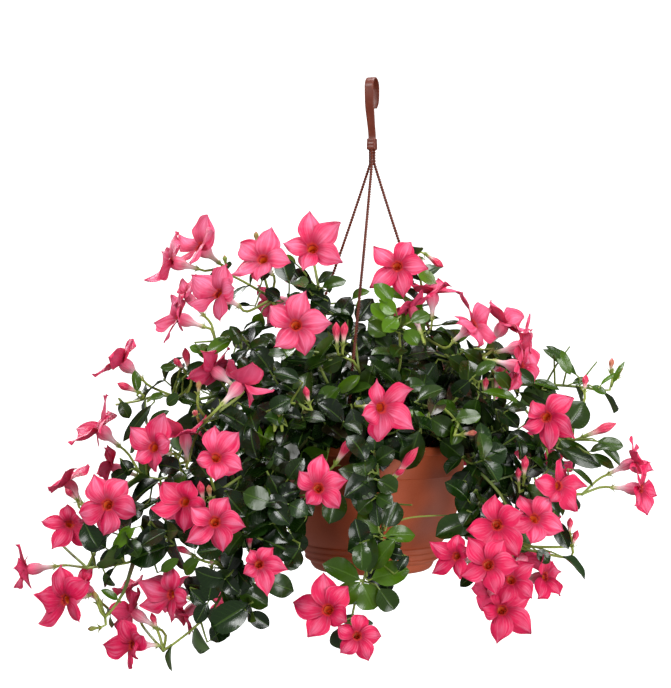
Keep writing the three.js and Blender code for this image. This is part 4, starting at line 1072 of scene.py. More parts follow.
@dataclass(frozen=True)
class PotFinish:
    """Moulded terracotta-coloured plastic: fine grain, faint flow marks and scuffs."""

    clay: tuple = tint(166, 72, 38)
    warm: tuple = tint(182, 84, 46)
    dust: tuple = tint(196, 116, 84)

    def make(self) -> bpy.types.Material:
        """Returns the material."""
        s = Shader(Finish.POT.value)
        where = s.place()
        cloud = s.noise(where, 9, 3)
        grain = s.noise(where, 1100, 1)
        scuff = s.noise(where, 70, 6, 0.7)
        colour = s.blend(cloud.step(0.3, 0.75), self.clay, self.warm)
        colour = s.blend(grain.step(0.4, 0.8) * 0.22, colour, self.dust)
        colour = s.blend(scuff.step(0.62, 0.8) * 0.3, colour, self.dust)
        return s.finish(
            Base_Color=colour,
            Roughness=grain * 0.1 + scuff * 0.08 + 0.4,
            Specular_IOR_Level=0.3,
            Normal=s.bump(grain * 0.8 + scuff * 0.2, 0.22, 0.5),
        )


@dataclass(frozen=True)
class SoilFinish:
    """Loose potting soil: dark peat with bark and a few pale grains."""

    peat: tuple = tint(38, 27, 20)
    bark: tuple = tint(86, 58, 38)
    grit: tuple = tint(178, 168, 150)

    def make(self) -> bpy.types.Material:
        """Returns the material."""
        s = Shader(Finish.SOIL.value)
        where = s.place()
        clod = s.noise(where, 120, 5, 0.7)
        speck = s.noise(where, 380, 1)
        colour = s.blend(clod.step(0.45, 0.7), self.peat, self.bark)
        colour = s.blend(speck.step(0.68, 0.74), colour, self.grit)
        height = clod * 0.8 + speck * 0.2
        return s.finish(Base_Color=colour, Roughness=0.93 - speck * 0.1, Normal=s.bump(height, 3, 1))


@dataclass(frozen=True)
class HangerFinish:
    """Brown moulded plastic: satin, with faint drawn lines and paler worn spots."""

    brown: tuple = tint(104, 42, 24)
    worn: tuple = tint(140, 70, 48)

    def make(self) -> bpy.types.Material:
        """Returns the material."""
        s = Shader(Finish.HANGER.value)
        where = s.place()
        cloud = s.noise(where, 140, 4, 0.65)
        grain = s.noise(where, 1600, 1)
        colour = s.blend(cloud.step(0.45, 0.8) * 0.6, self.brown, self.worn)
        return s.finish(
            Base_Color=colour,
            Roughness=cloud * 0.16 + 0.3,
            Normal=s.bump(grain * 0.5 + cloud * 0.5, 0.18, 0.5),
        )


@dataclass(frozen=True)
class PaperFinish:
    """Matt white backdrop paper with its own faint glow."""

    light: tuple = tint(250, 250, 249)
    shade: tuple = tint(246, 246, 245)
    glow: float = 0.9

    def make(self) -> bpy.types.Material:
        """Returns the material."""
        s = Shader(Finish.PAPER.value)
        return s.finish(
            Base_Color=s.blend(s.noise(s.place(), 30, 2), self.light, self.shade),
            Roughness=0.9,
            Emission_Color=(1, 1, 1, 1),
            Emission_Strength=self.glow,
        )


def make_materials() -> dict[Finish, bpy.types.Material]:
    """Returns the material of each finish."""
    makers = {
        Finish.POT: PotFinish(),
        Finish.SOIL: SoilFinish(),
        Finish.HANGER: HangerFinish(),
        Finish.LEAF: LeafFinish(),
        Finish.STEM: StemFinish(),
        Finish.PETAL: PetalFinish(),
        Finish.FUNNEL: FunnelFinish(),
        Finish.BUD: BudFinish(),
        Finish.PAPER: PaperFinish(),
    }
    return {finish: maker.make() for finish, maker in makers.items()}


# ---- pot and soil
@dataclass
class Pot:
    """The hanging pot and its soil, turned about the axis through the hook."""

    rim_top: float = -487.0
    base: float = -657.0
    lip_radius: float = 131.5
    lip_height: float = 11.0
    band_radius: float = 123.0
    band_height: float = 41.0
    wall: float = 2.6
    lower_radius: float = 92.0
    lower_height: float = 35.0
    side: tuple = ((100.5, 45), (107.6, 60), (112.5, 75), (116.5, 87), (119.5, 100))
    ribs: int = 3
    rib_pitch: float = 7.8
    rib_step: float = 1.5
    rib: tuple = ((0.1, -3.4), (0.84, -2.4), (1.12, -1.2), (1.05, -0.2), (0.4, 1))
    foot_radius: float = 69.0
    foot: tuple = (
        (-14, 2), (-12, 0.2), (-6, 0), (0, 0.3), (5, 1.1), (8.6, 2.9), (11.2, 5.6), (13, 9), (14.6, 12.6),
    )
    band_foot: tuple = ((-2.2, -2.4), (-1.5, -0.6), (-0.2, 0.3), (0, 1.2))
    lip_under: tuple = ((-3.2, 0), (-2, -1.2))
    lip_foot: tuple = ((-2, 0.8), (-1.4, 0), (-0.5, 0), (0, 0.7))
    lip_edge: tuple = ((0, -2.4), (-0.7, -0.8), (-2.2, 0))
    soil_top: float = -512.0
    sides: int = 120
    hole_radius: float = 3.2
    hole_circle: float = 125.8
    drain_radius: float = 4.0
    drain_circle: float = 42.0

    def outside(self) -> Array:
        """Works out the outer profile from the base's middle to the rolled lip.

        Returns:
            Points of [radius, height]. Each part's own table is added to the place it starts from.
        """
        inner_lip = self.rim_top - self.wall
        under = (self.lower_radius, self.base + self.lower_height)
        ribs = [
            np.add(self.rib, (under[0] - rib * self.rib_step, under[1] - rib * self.rib_pitch))
            for rib in reversed(range(self.ribs))
        ]
        parts = [
            [(0.4, self.base + 2)],
            np.add(self.foot, (self.foot_radius, self.base)),
            *ribs,
            np.add(self.side, (0, self.base)),
            np.add(self.band_foot, (self.band_radius, self.rim_top - self.band_height)),
            [(self.band_radius, self.rim_top - 12.6), (self.band_radius, inner_lip - 1.4)],
            [(self.band_radius + 1.4, inner_lip)],
            np.add(self.lip_under, (self.lip_radius, inner_lip)),
            np.add(self.lip_foot, (self.lip_radius, self.rim_top - self.lip_height)),
            np.add(self.lip_edge, (self.lip_radius, self.rim_top)),
        ]
        return np.vstack(parts)

    def inside(self) -> Array:
        """Returns the inner profile from the lip down to the axis, as [radius, height]."""
        inner, floor = self.band_radius - self.wall, self.base + 4.6
        return np.vstack(
            [
                [(inner + 1.6, self.rim_top), (inner, self.rim_top - 1.4)],
                [(inner, self.rim_top - self.band_height)],
                np.add(self.side[::-1], (-self.wall, self.base)),
                [(self.lower_radius - self.wall - 1, self.base + self.lower_height)],
                [(self.foot_radius + 8, self.base + 9), (self.foot_radius, floor), (0.4, floor)],
            ]
        )

    def cutters(self) -> bpy.types.Object:
        """Makes one object of upright pegs that cut the strand holes and the drain holes."""
        strands = [(math.radians(a[0] - 90), self.hole_circle) for a in Hanger.ways.values()]
        drains = [(math.radians(90 * i + 45), self.drain_circle) for i in range(4)]
        form = Form("pegs")
        for angle, circle in strands + drains:
            upper = circle > self.drain_circle
            radius = self.hole_radius if upper else self.drain_radius
            height = self.rim_top if upper else self.base
            peg = turned([(radius, height - 10), (radius, height + 10)], 20)
            form.add(peg + [circle * math.cos(angle), circle * math.sin(angle), 0], Finish.POT)
        return form.build()

    def build(self) -> None:
        """Makes the pot with its holes."""
        form = Form("pot_shell")
        form.add(turned(np.vstack([self.outside(), self.inside()]), self.sides), Finish.POT)
        shell, pegs = form.build(), self.cutters()
        cut = shell.modifiers.new("holes", "BOOLEAN")
        cut.operation, cut.solver, cut.object = "DIFFERENCE", "EXACT", pegs
        finished = shell.evaluated_get(bpy.context.evaluated_depsgraph_get())
        mesh = bpy.data.meshes.new_from_object(finished)
        shell.modifiers.clear()
        shell.data = mesh
        mesh.set_sharp_from_angle(angle=math.radians(30))
        bpy.data.objects.remove(pegs)
        settle(shell, Slot.POT, "pot")

    def fill(self) -> None:
        """Makes the soil: a disc with clods, whose height is a sum of waves both ways."""
        top = [(r, self.soil_top + 5 * (1 - (r / 114) ** 2)) for r in np.linspace(113.2, 0.4, 34)]
        low = [(0.4, self.base + 5), (self.foot_radius - 1, self.base + 5)]
        low += [(self.lower_radius - 5, self.base + 33), (113.4, self.soil_top - 16)]
        rings = turned(low + top, 96)
        x, y = rings[..., 0], rings[..., 1]
        clods = np.sin(x / 3.1 + 2 * np.sin(y / 7.3)) * np.sin(y / 2.7 + 2 * np.sin(x / 6.1))
        clods += np.sin(x / 9.7 + 1.3) * np.sin(y / 8.3 + 0.4)
        rings[len(low) :, :, 2] += 1.1 * clods[len(low) :]
        form = Form("potting_soil")
        form.add(rings, Finish.SOIL)
        settle(form.build(), Slot.SOIL, "soil")


# ---- hanger
@dataclass
class Hanger:
    """The hook of bent strap, its crimp block and the three twisted strands."""

    loop_radius: float = 12.0
    thickness: float = 2.4
    turn: float = 19.0
    tip_drop: float = 38.0
    leg: tuple = ((0, -4), (0, 6), (0.45, 26), (0.9, 48))
    crimp_top: float = -80.0
    crimp_height: float = 15.0
    crimp_side: float = 12.6
    crimp_steps: tuple = (
        (0.8, 0), (0.95, 0.5), (1, 1.4), (1, 4.4), (0.97, 5), (0.97, 5.6), (1, 6.2), (0.97, 9),
        (0.93, 9.6), (0.93, 10.2), (0.95, 10.8), (0.95, 13.8), (0.92, 14.6), (0.8, 15),
    )
    strap_widths: tuple = ((0, 5.2), (0.16, 5.4), (0.3, 6.2), (0.9, 6.2), (0.97, 5.4), (1, 3.4))
    strand_radius: float = 2.4
    pitch: float = 7.2
    plies: int = 2
    ply_share: float = 0.57
    ply_sides: int = 6
    ring_step: float = 0.9
    profile: tuple = (
        (3.1, -86), (3.1, -100), (3.3, -111), (6, -121.5), (39.5, -223), (88, -359),
        (114, -430), (125.8, -470), (125.8, -481), (125.8, -493),
    )
    ways = {"left": (-97, -127), "front": (-16, -8), "right": (103, 112)}

    def strap_line(self) -> Path:
        """Returns the strap's middle line in its own plane, across the mouth and up."""
        middle = self.loop_radius + self.thickness / 2
        bend = np.radians(np.linspace(180, 0, 13))
        arc = np.stack([middle * np.cos(bend), 0 * bend, middle * np.sin(bend) - 12], -1)
        leg = [(-middle * out, 0, self.crimp_top + up) for out, up in self.leg]
        tip = [(middle * 0.96, 0, -self.tip_drop * 0.7), (middle * 0.8, 0, -self.tip_drop)]
        return Path(np.vstack([leg, arc, tip]))

    def strap(self) -> Array:
        """Returns the strap's rings: a round-edged bar's section carried along its line.

        The section is a superellipse, narrower at the crimp and at the free tip.
        """
        path, shares = self.strap_line(), np.linspace(0, 1, 72)
        along = path.along(shares)
        flat = np.cross(along, [0, 1, 0])
        wide, thick = rounded_square(full_turn(24), (0.28, 0.6))
        half = eased(self.strap_widths, shares)
        rings = path.at(shares)[:, None] + half[:, None, None] * wide[:, None] * [0, 1, 0]
        return rings + self.thickness / 2 * thick[:, None] * flat[:, None]

    def crimp(self) -> Array:
        """Returns the crimp block's rings: a rounded square with chamfers and two grooves."""
        half, low = self.crimp_side / 2, self.crimp_top - self.crimp_height
        x, y = rounded_square(full_turn(32), (0.35, 0.35))
        size, rise = np.array(self.crimp_steps).T[:, :, None]
        height = np.broadcast_to(low + rise, (len(size), len(x)))
        return np.stack([half * size * x, half * size * y, height], -1)

    def build_hook(self) -> None:
        """Makes the hook: the strap over the loop and the crimp block at its foot."""
        turn = math.radians(90 - self.turn)
        mouth = np.array([math.cos(turn), math.sin(turn), 0])
        stand = Stand.facing(np.zeros(3), np.array([0, 0, 1]), mouth)
        form = Form("hanger_strap")
        for rings in (self.strap(), self.crimp()):
            form.add(stand.carry(rings), Finish.HANGER)
        settle(form.build(sharp=60), Slot.HANGER, "hanger_hook")

    def strand_path(self, side: str) -> Path:
        """Returns a strand's middle line.

        Its way round the plant turns from its place at the crimp to its place at the rim in
        proportion to how far out it is.

        Args:
            side: Which strand.
        """
        at_rim, at_crimp = self.ways[side]
        radius, height = np.array(self.profile, float).T
        share = np.minimum(1, (radius - radius[0]) / 40)
        way = np.radians(at_crimp + (at_rim - at_crimp) * share)
        return Path(np.stack([radius * np.sin(way), -radius * np.cos(way), height], -1))

    def build_strand(self, side: str) -> None:
        """Makes a strand of plies, each wound round the middle line, and its knob.

        Args:
            side: Which strand.
        """
        path = self.strand_path(side)
        shares = np.linspace(0, 1, int(path.length / self.ring_step))
        first, second = path.axes(shares)
        middle = path.at(shares)
        angle = full_turn(self.ply_sides)[None, :, None]
        round_it = first[:, None] * np.cos(angle) + second[:, None] * np.sin(angle)
        form = Form(f"strand_{side}")
        ply = self.strand_radius * self.ply_share
        for k in range(self.plies):
            wind = 2 * np.pi * (shares * path.length / self.pitch + k / self.plies)[:, None]
            offset = (self.strand_radius - ply) * (first * np.cos(wind) + second * np.sin(wind))
            form.add((middle + offset)[:, None] + ply * round_it, Finish.HANGER)
        end = path.at(np.array([1]))[0] + [0, 0, -0.4]
        knob = turned([(0.4, -2.2), (3, -2.2), (3.9, -1.2), (3.9, 0.6), (2.8, 1.8), (0.4, 2)], 16)
        form.add(knob * [1, 0.54, 1] + end, Finish.HANGER)
        settle(form.build(sharp=60), Slot.HANGER, f"hanger_strand_{side}")


# ---- leaves, flowers and buds
@dataclass
class Blade:
    """A leaf's form: its outline, how it arches and how it folds along the midrib."""

    rings: int = 9
    columns: int = 5
    thickness: float = 0.35
    arch: tuple[float, float] = (0.25, 1.25)
    outline: tuple = (
        (0, 0.04), (0.05, 0.06), (0.1, 0.34), (0.19, 0.68), (0.32, 0.92), (0.48, 1),
        (0.64, 0.97), (0.78, 0.8), (0.88, 0.53), (0.95, 0.22), (1, 0.01),
    )

    def shape(
        self, base: Array, along: Array, out: Array, length: Array, width: Array, rng: Draws
    ) -> tuple[Array, dict[str, Array]]:
        """Works out many leaves at once.

        A leaf's middle line is a circle's arc that starts along its direction and bends down. A
        row across it rises from the midrib as a V, and its edges wave.

        Args:
            base: Where each leaf is joined, one row a leaf.
            along: The direction in which it sets out.
            out: The way its upper side looks.
            length: Its length.
            width: Its full width.
            rng: Draws its arch, fold and waves.

        Returns:
            Rings of points, of shape (leaves, rings, points, 3), and the marks along and across.
        """
        count = len(base)
        along = unit(along)
        out = square_to(out, along)
        side = np.cross(out, along)
        s = np.linspace(0, 1, self.rings)[None, :, None]
        across, face = lens(self.columns)
        arch, fold, phase = (
            rng.uniform(low, high, (count, 1, 1)) for low, high in (self.arch, (0.1, 0.5), (0, 6.3))
        )
        length, width = length[:, None, None], width[:, None, None]
        half = width / 2 * eased(self.outline, s)
        forward = length * np.sin(arch * s) / arch
        down = length * (1 - np.cos(arch * s)) / arch
        offset = half * across
        rise = half * np.abs(across) ** 1.5 * np.sin(fold)
        rise = rise + half * 0.13 * across**2 * np.sin(7 * s + phase)
        rise = rise + self.thickness * face * np.sqrt(1 - across**2 * 0.98)
        forward = forward + rise * np.sin(arch * s)
        height = rise * np.cos(arch * s) - down
        rings = (
            base[:, None, None]
            + forward[..., None] * along[:, None, None]
            + (offset * np.cos(fold))[..., None] * side[:, None, None]
            + height[..., None] * out[:, None, None]
        )
        return rings, {"along": s, "across": across, "side": (face + 1) / 2}


@dataclass
class Flower:
    """A trumpet flower: five twisted petals, a funnel with its throat, and a calyx."""

    petals: int = 5
    rows: tuple = (0, 0.05, 0.12, 0.21, 0.31, 0.41, 0.51, 0.61, 0.70, 0.78, 0.85, 0.905, 0.95, 0.98, 1)
    columns: int = 9
    throat: float = 0.15
    sepal: tuple[float, float] = (7.5, 2.6)
    tip_drop: float = 0.12
    most_turn: float = 24.0
    reaches: tuple[float, float] = (0.66, 1.4)
    unread: tuple[float, float] = (0, 0.95)
    funnel_length: float = 43.0
    full_radius: float = 38.0
    outer_rings: int = 10
    tube_sides: int = 20
    slender: tuple = (
        (0, 0.115), (0.1, 0.2), (0.25, 0.3), (0.41, 0.355), (0.53, 0.335), (0.62, 0.28),
        (0.7, 0.215), (0.82, 0.115), (0.91, 0.055), (0.96, 0.026), (1, 0.008),
    )
    broad: tuple = (
        (0, 0.115), (0.1, 0.2), (0.25, 0.315), (0.41, 0.41), (0.53, 0.43), (0.62, 0.41),
        (0.7, 0.355), (0.79, 0.245), (0.86, 0.15), (0.92, 0.075), (0.96, 0.036), (1, 0.008),
    )
    tube: tuple = (
        (0.3, -43.8), (2.6, -43.2), (2.8, -37), (3.2, -31), (4.6, -26), (7.4, -21),
        (9.2, -15), (9.4, -9), (8.4, -4.6), (6.4, -2.4), (5.9, -4.4), (5.4, -8),
        (4.4, -13), (3, -16.6), (2.2, -16.8), (1.7, -12.6), (0.3, -10.6),
    )

    def petal_rings(self, radius: float, lay: Array | None, ruffle: float, rng: Draws) -> Array:
        """Works out the petals about the throat, with Z along the flower's face.

        A petal's middle line is the running sum of steps that lean outwards more and more. Each
        row across it is tilted so that one edge lies over the next petal, wraps round the throat
        near its foot, and is turned on towards the tip.

        Args:
            radius: From the throat's middle to the petals' tips.
            lay: Each petal's turn in degrees and length as a share, or nothing.
            ruffle: How strongly the petals curl, nod and twist.
            rng: Draws each petal's curl, tilt, lean, turn and waves.

        Returns:
            Rings of points, of shape (petals, rings, points, 3).
        """
        aside = ruffle - 1
        full, curling, swirl = rng.uniform((0, 0, 0.02), (0.8, 0.6, 0.1))
        full += 0.5 * aside
        draws = ((0, 0.9), (0.1, 0.36), (-0.02, 0.03), (0, 6.3), (-0.1, 0.6), (-0.4, 0.6), (-0.3, 0.14))
        curl, tilt, lean, phase, bow, twist, nod = (
            rng.uniform(low, high, (self.petals, 1, 1)) for low, high in draws
        )
        drawn = np.stack([rng.uniform(-6, 6, self.petals), rng.uniform(0.88, 1.08, self.petals)], -1)
        turn, reach = (drawn if lay is None else lay).T[:, :, None, None]
        s = np.array(self.rows)[None, :, None]
        across, face = lens(self.columns)
        base = self.throat * radius
        slope = 0.55 + (1.02 - 0.5 * aside + 1.3 * ruffle * nod) * (1 - np.exp(-s / 0.15))
        slope = slope + (1 - 0.45 * aside) * (curl + curling) * s**1.5
        step = radius * np.diff(s, axis=1, prepend=0)
        out, height = np.cumsum(step * np.sin(slope), 1), np.cumsum(step * np.cos(slope), 1)
        middle = base + out / out[:, -1:] * ((1.02 + 0.08 * aside) * radius * reach - base)
        height = 0.9 * height - (0.2 * aside + 0.07) * radius
        width = (1 - full) * eased(self.slender, s) + full * eased(self.broad, s)
        half = radius * width * (0.7 + 0.3 * reach) * (1 + 0.2 * aside)
        x = across * half + (lean + swirl) * radius * 4 * s * (1 - s)
        y = middle - (1 - s) ** 2 * (across * half) ** 2 / (2 * middle)
        rise = tilt * across * half - bow * half * across**2 * s - 0.12 * np.abs(across) * half * s
        rise = rise + 0.11 * radius * np.sin((8 + 3 * across) * s + phase) * across**3 * s
        rise = rise + 0.032 * radius * np.cos(7.5 * across + phase) * np.sin(3 * s) * (1 - s)
        rise = rise + face * (0.42 - 0.2 * s) * np.sqrt(1 - across**2 * 0.98)
        wind = ruffle * twist * s**2
        z = height + rise * np.cos(wind) + across * half * np.sin(wind)
        x = x - across * half * (1 - np.cos(wind))
        spin = (2 * np.pi / self.petals * np.arange(self.petals))[:, None, None] + np.radians(turn)
        y, x, z = np.broadcast_arrays(y, x, z)
        return np.stack([y * np.cos(spin) - x * np.sin(spin), y * np.sin(spin) + x * np.cos(spin), z], -1)

    def petal_lay(self, tips: Array, axes: tuple[Array, ...], spin: float, radius: float) -> Array:
        """Works out each petal's turn and length from where its tip is seen.

        A tip's offset is a sum of the face's two cross directions as seen from the front. The tips
        go to the petals in their order round the throat, in the way that turns the petals least.

        Args:
            tips: The seen tips' offsets from the throat, across and up.
            axes: The flower's side, third and along directions.
            spin: The angle of its first petal, in degrees.
            radius: Its size.

        Returns:
            Rows of the turn in degrees and the length as a share of the radius.
        """
        side, third, along = (axis[[0, 2]] for axis in axes)
        parts = np.linalg.solve(np.stack([side, third], 1), (tips + self.tip_drop * radius * along).T)
        angle = (np.degrees(np.arctan2(parts[1], parts[0])) - spin) % 360
        order = np.argsort(angle)
        pitch, lost = 360 / self.petals, self.petals - len(tips)
        choices = []
        for skip in range(self.petals) if lost else (None,):
            ids = [petal for petal in range(self.petals) if petal != skip]
            for shift in range(len(ids)):
                petal = np.roll(ids, shift)
                turn = (angle[order] - pitch * petal + 180) % 360 - 180
                choices.append((float((turn**2).sum()), petal, turn))
        _, petal, turn = min(choices, key=lambda choice: choice[0])
        rows = np.tile(self.unread, (self.petals, 1))
        rows[petal, 0] = np.round(np.clip(turn, -self.most_turn, self.most_turn))
        reach = np.hypot(*parts)[order] / radius
        rows[petal, 1] = np.round(np.clip(reach, *self.reaches), 2)
        return rows

    def add_to(
        self, form: Form, throat: Array, along: Array, spin: float, radius: float, tips: Array
    ) -> None:
        """Adds a flower to a form.

        Args:
            form: The mesh in the making, whose name and size seed the flower's draws.
            throat: The middle of its face.
            along: The way its face looks.
            spin: The angle of its first petal, in degrees.
            radius: Its size.
            tips: Where its petals' tips are seen from the throat, across and up, or no rows.
        """
        rng = seed_of(f"{form.name}{spin:.0f}{radius:.0f}{throat[0]:.0f}")
        up = np.array([0, 0, 1]) if abs(along[2]) < 0.9 else np.array([0, -1, 0])
        third = square_to(up, along)
        side = np.cross(third, along)
        angle = math.radians(spin)
        stand = Stand.facing(throat, along, side * math.cos(angle) + third * math.sin(angle))
        # Higher flowers get a higher tone, which pales their petals: painted light from above. The rest of
        # the tone is random.
        tone = float(np.clip((throat[2] + 620) / 360, 0, 1) * 0.6 + rng.uniform(0, 0.4))
        s = np.array(self.rows)[:, None]
        across, face = lens(self.columns)
        ruffle = 2 - abs(along[1])
        lay = self.petal_lay(tips, (side, third, along), spin, radius) if len(tips) else None
        petals = stand.carry(self.petal_rings(radius, lay, ruffle, rng))
        form.add(petals, Finish.PETAL, along=s, across=across, side=(face + 1) / 2, tone=tone)
        profile = np.array(self.tube)
        profile[:, 1] -= 0.16 * (ruffle - 1) * radius * np.clip(profile[:, 1] / 20 + 1.3, 0, 1)
        size = radius / self.full_radius
        profile[:, 0] *= size ** np.linspace(0, 2, len(profile)).clip(0, 1)
        inner = len(profile) - self.outer_rings
        run = np.concatenate([np.linspace(0, 1, self.outer_rings), np.linspace(1.05, 2, inner)])
        around = np.abs(np.linspace(-1, 1, self.tube_sides, endpoint=False))
        rings = stand.carry(turned(profile, self.tube_sides, 0.05))
        form.add(rings, Finish.FUNNEL, along=run[:, None], across=around, tone=tone)
        self.add_calyx(form, replace(stand, foot=throat - along * self.funnel_length), rng)

    def add_calyx(self, form: Form, stand: Stand, rng: Draws) -> None:
        """Adds narrow sepals round the foot of a flower or bud.

        Args:
            form: The mesh in the making.
            stand: The foot and the tube's directions.
            rng: Draws the sepals' bends.
        """
        angle = 2 * np.pi / self.petals * np.arange(self.petals)[:, None]
        spoke = stand.first * np.cos(angle) + stand.second * np.sin(angle)
        long, wide = (np.full(self.petals, size) for size in self.sepal)
        blade = Blade(rings=5, columns=3, thickness=0.4, outline=((0, 0.7), (0.4, 1), (1, 0.05)))
        base, ahead = stand.foot + spoke * 1.6 - stand.along, stand.along * 0.93 + spoke * 0.3
        rings, marks = blade.shape(base, ahead, -spoke, long, wide, rng)
        form.add(rings, Finish.STEM, youth=0.9, **{key: marks[key] for key in ("along", "across")})


@dataclass
class Bud:
    """A furled bud: a narrow foot that swells towards its pointed, twisted end."""

    radius: float = 4.2
    ripe_length: float = 22.0
    outline: tuple = (
        (0, 0.3), (0.12, 0.42), (0.3, 0.5), (0.45, 0.66), (0.6, 0.94), (0.7, 1), (0.8, 0.86),
        (0.9, 0.5), (0.97, 0.17), (1, 0.03),
    )

    def add_to(self, form: Form, base: Array, tip: Array) -> None:
        """Adds a bud to a form. Its section has five lobes that turn as they go up.

        Args:
            form: The mesh in the making.
            base: Its foot.
            tip: Its point.
        """
        reach = float(np.linalg.norm(tip - base))
        along = (tip - base) / reach
        stand = Stand.facing(base, along, np.array([0.3, -1, 0.2]))
        s = np.linspace(0, 1, 12)[:, None]
        angle = full_turn(15)
        size = self.radius * min(1.45, 0.3 + reach / 34)
        radius = size * eased(self.outline, s) * (1 + 0.1 * np.cos(5 * angle - 5 * s))
        rings = np.stack([radius * np.cos(angle), radius * np.sin(angle), s * reach + 0 * angle], -1)
        around = np.abs(angle / np.pi - 1)
        youth = float(np.clip((self.ripe_length - reach) / 6, 0, 1))
        form.add(stand.carry(rings), Finish.BUD, along=s, across=around, youth=youth)
        Flower().add_calyx(form, stand, seed_of(f"{form.name}{reach:.1f}"))


# ---- shoots and sprays
@dataclass
class Plant:
    """The whole plant: every shoot with its leaves, and every spray of flowers."""

    root_depth: float = 16.0
    root_stagger: float = 3.0
    root_radius: float = 3.1
    tip_radius: float = 1.5
    stalk_radius: float = 1.75
    stalk_bend: float = 14.0
    pair_spacing: float = 36.0
    twig_spacing: float = 24.0
    twig_start: float = 62.0
    twig_end: float = 70.0
    twig_step: float = 44.0
    twig_reach: tuple[float, float] = (42, 66)
    tip_youth: float = 0.26
    leaf_length: float = 60.0
    leaf_ratio: float = 0.7
    leaf_steps: int = 24
    leaf_lift: float = 14.0
    lift_share: float = 0.25
    longest_stalk: float = 60.0
    front: float = -200.0
    depth_span: float = 400.0
    depth_cost: float = 0.16
    back: float = 90.0
    back_cost: float = 20.0
    tested: tuple[float, ...] = (0.35, 0.7, 1)
    leaf_sag: float = 0.3
    pot_aside: float = 3.0
    pot_above: float = 4.0
    strand_spots: int = 12
    strand_room: float = 15.0
    face_room: tuple[float, float] = (-16, 46)
    face_share: float = 0.92
    seen_room: float = 4.0
    seen_share: float = 0.8
    far_back: float = 60.0
    crown: Array = field(default_factory=lambda: np.array([-25, 0, -540]))
    bars: dict[str, list[Path]] = field(default_factory=dict)
    singles: dict[str, Array] = field(default_factory=dict)
    faces: tuple[Array, ...] = ()

    def __post_init__(self) -> None:
        """Lays out every stem's path, carried down into the soil where it starts over it.

        The faces that leaves keep clear of are the flowers' and spots along the front strand:
        their middles, the ways they look and their radii. The single leaves go to their shoots.
        """
        for name, shoot in SHOOTS.items():
            self.bars[name] = []
            for index, route in enumerate(shoot.routes):
                points = place(route)
                if math.hypot(*points[0, :2]) < Pot.band_radius:
                    root = points[0] - [0, 0, self.root_depth + index * self.root_stagger]
                    points = np.vstack([root, points])
                self.bars[name].append(Path(points))
        flowers = [flower for spray in SPRAYS.values() for flower in spray.flowers]
        strand = Hanger().strand_path("front").at(np.linspace(0.3, 0.74, self.strand_spots))
        ways = [facing(*flower[1:3]) for flower in flowers] + [(0, -1, 0)] * self.strand_spots
        radii = [flower[4] for flower in flowers] + [self.strand_room] * self.strand_spots
        throats = np.vstack([place([flower[0] for flower in flowers]), strand])
        self.faces = throats, np.array(ways), np.array(radii, float)
        owners, rows = self.laid_leaves()
        self.singles = {name: rows[owners == name] for name in SHOOTS}

    def laid_leaves(self) -> tuple[Array, Array]:
        """Gives each single leaf to the stem that is seen nearest to its base.

        Stems far back count as further away. The leaf lies a little in front of that stem's
        nearest point, and behind the front strand where it would cover it.

        Returns:
            Each leaf's shoot, and its row: across, depth and height of the base, across and
            height of the tip, width and youth.
        """
        lines = {
            name: np.vstack([Path(route, self.leaf_steps).line for route in shoot.routes])
            for name, shoot in SHOOTS.items()
        }
        names = np.repeat(list(lines), [len(line) for line in lines.values()])
        across, depth, height = np.vstack(list(lines.values())).T
        leaves = np.array([(*leaf, 0)[:6] for leaf in LEAVES], float)
        leaves[:, 2:4] += leaves[:, :2]
        base, tip = on_sheet(leaves[:, :2]), on_sheet(leaves[:, 2:4])
        apart = np.hypot(across - base[:, :1], height - base[:, 1:])
        far = self.depth_cost * (depth - self.front).clip(0, self.depth_span)
        near = (apart + far + self.back_cost * (depth > self.back)).argmin(1)
        off = np.minimum(np.take_along_axis(apart, near[:, None], 1)[:, 0], self.longest_stalk)
        highlight_and_tone = self.leaf_lift + off * self.lift_share
        seat = np.maximum(depth[near] - highlight_and_tone, self.behind_strand(leaves))
        width, youth = leaves[:, 4] * SHEET_STEP, leaves[:, 5] / 100
        rows = np.column_stack([base[:, 0], seat, base[:, 1], tip, width])
        return names[near], np.column_stack([np.round(rows), youth])

    @staticmethod
    def behind_strand(leaves: Array) -> Array:
        """Returns how far back each leaf has to be to stay behind the front strand.

        Args:
            leaves: Rows of LEAVES, with the tips as places of their own.
        """
        share = np.array([0, 0.35, 0.7, 1])[:, None, None]
        x, y = np.moveaxis(leaves[:, :2] + share * (leaves[:, 2:4] - leaves[:, :2]), -1, 0)
        top, low, margin, room, nearness = 250, 360, 3, 30, 0.97
        strand = 364 - 9 * (y - 248) / 110
        covers = (y > top) & (y < low) & (np.abs(x - strand) < leaves[:, 4] / 2 + margin)
        height = SHEET_CORNER[1] - SHEET_STEP * y
        reach = np.interp(height, [-430, -359, -223], [110, 88, 39])
        return np.where(covers, room - reach * nearness, -np.inf).max(0)

    def joint(self, name: str, foot: Array) -> Array:
        """Returns the point of a shoot's stems that is nearest to a foot."""
        near = [path.nearest(foot) for path in self.bars[name]]
        return min(near, key=lambda spot: float(np.linalg.norm(spot - foot)))

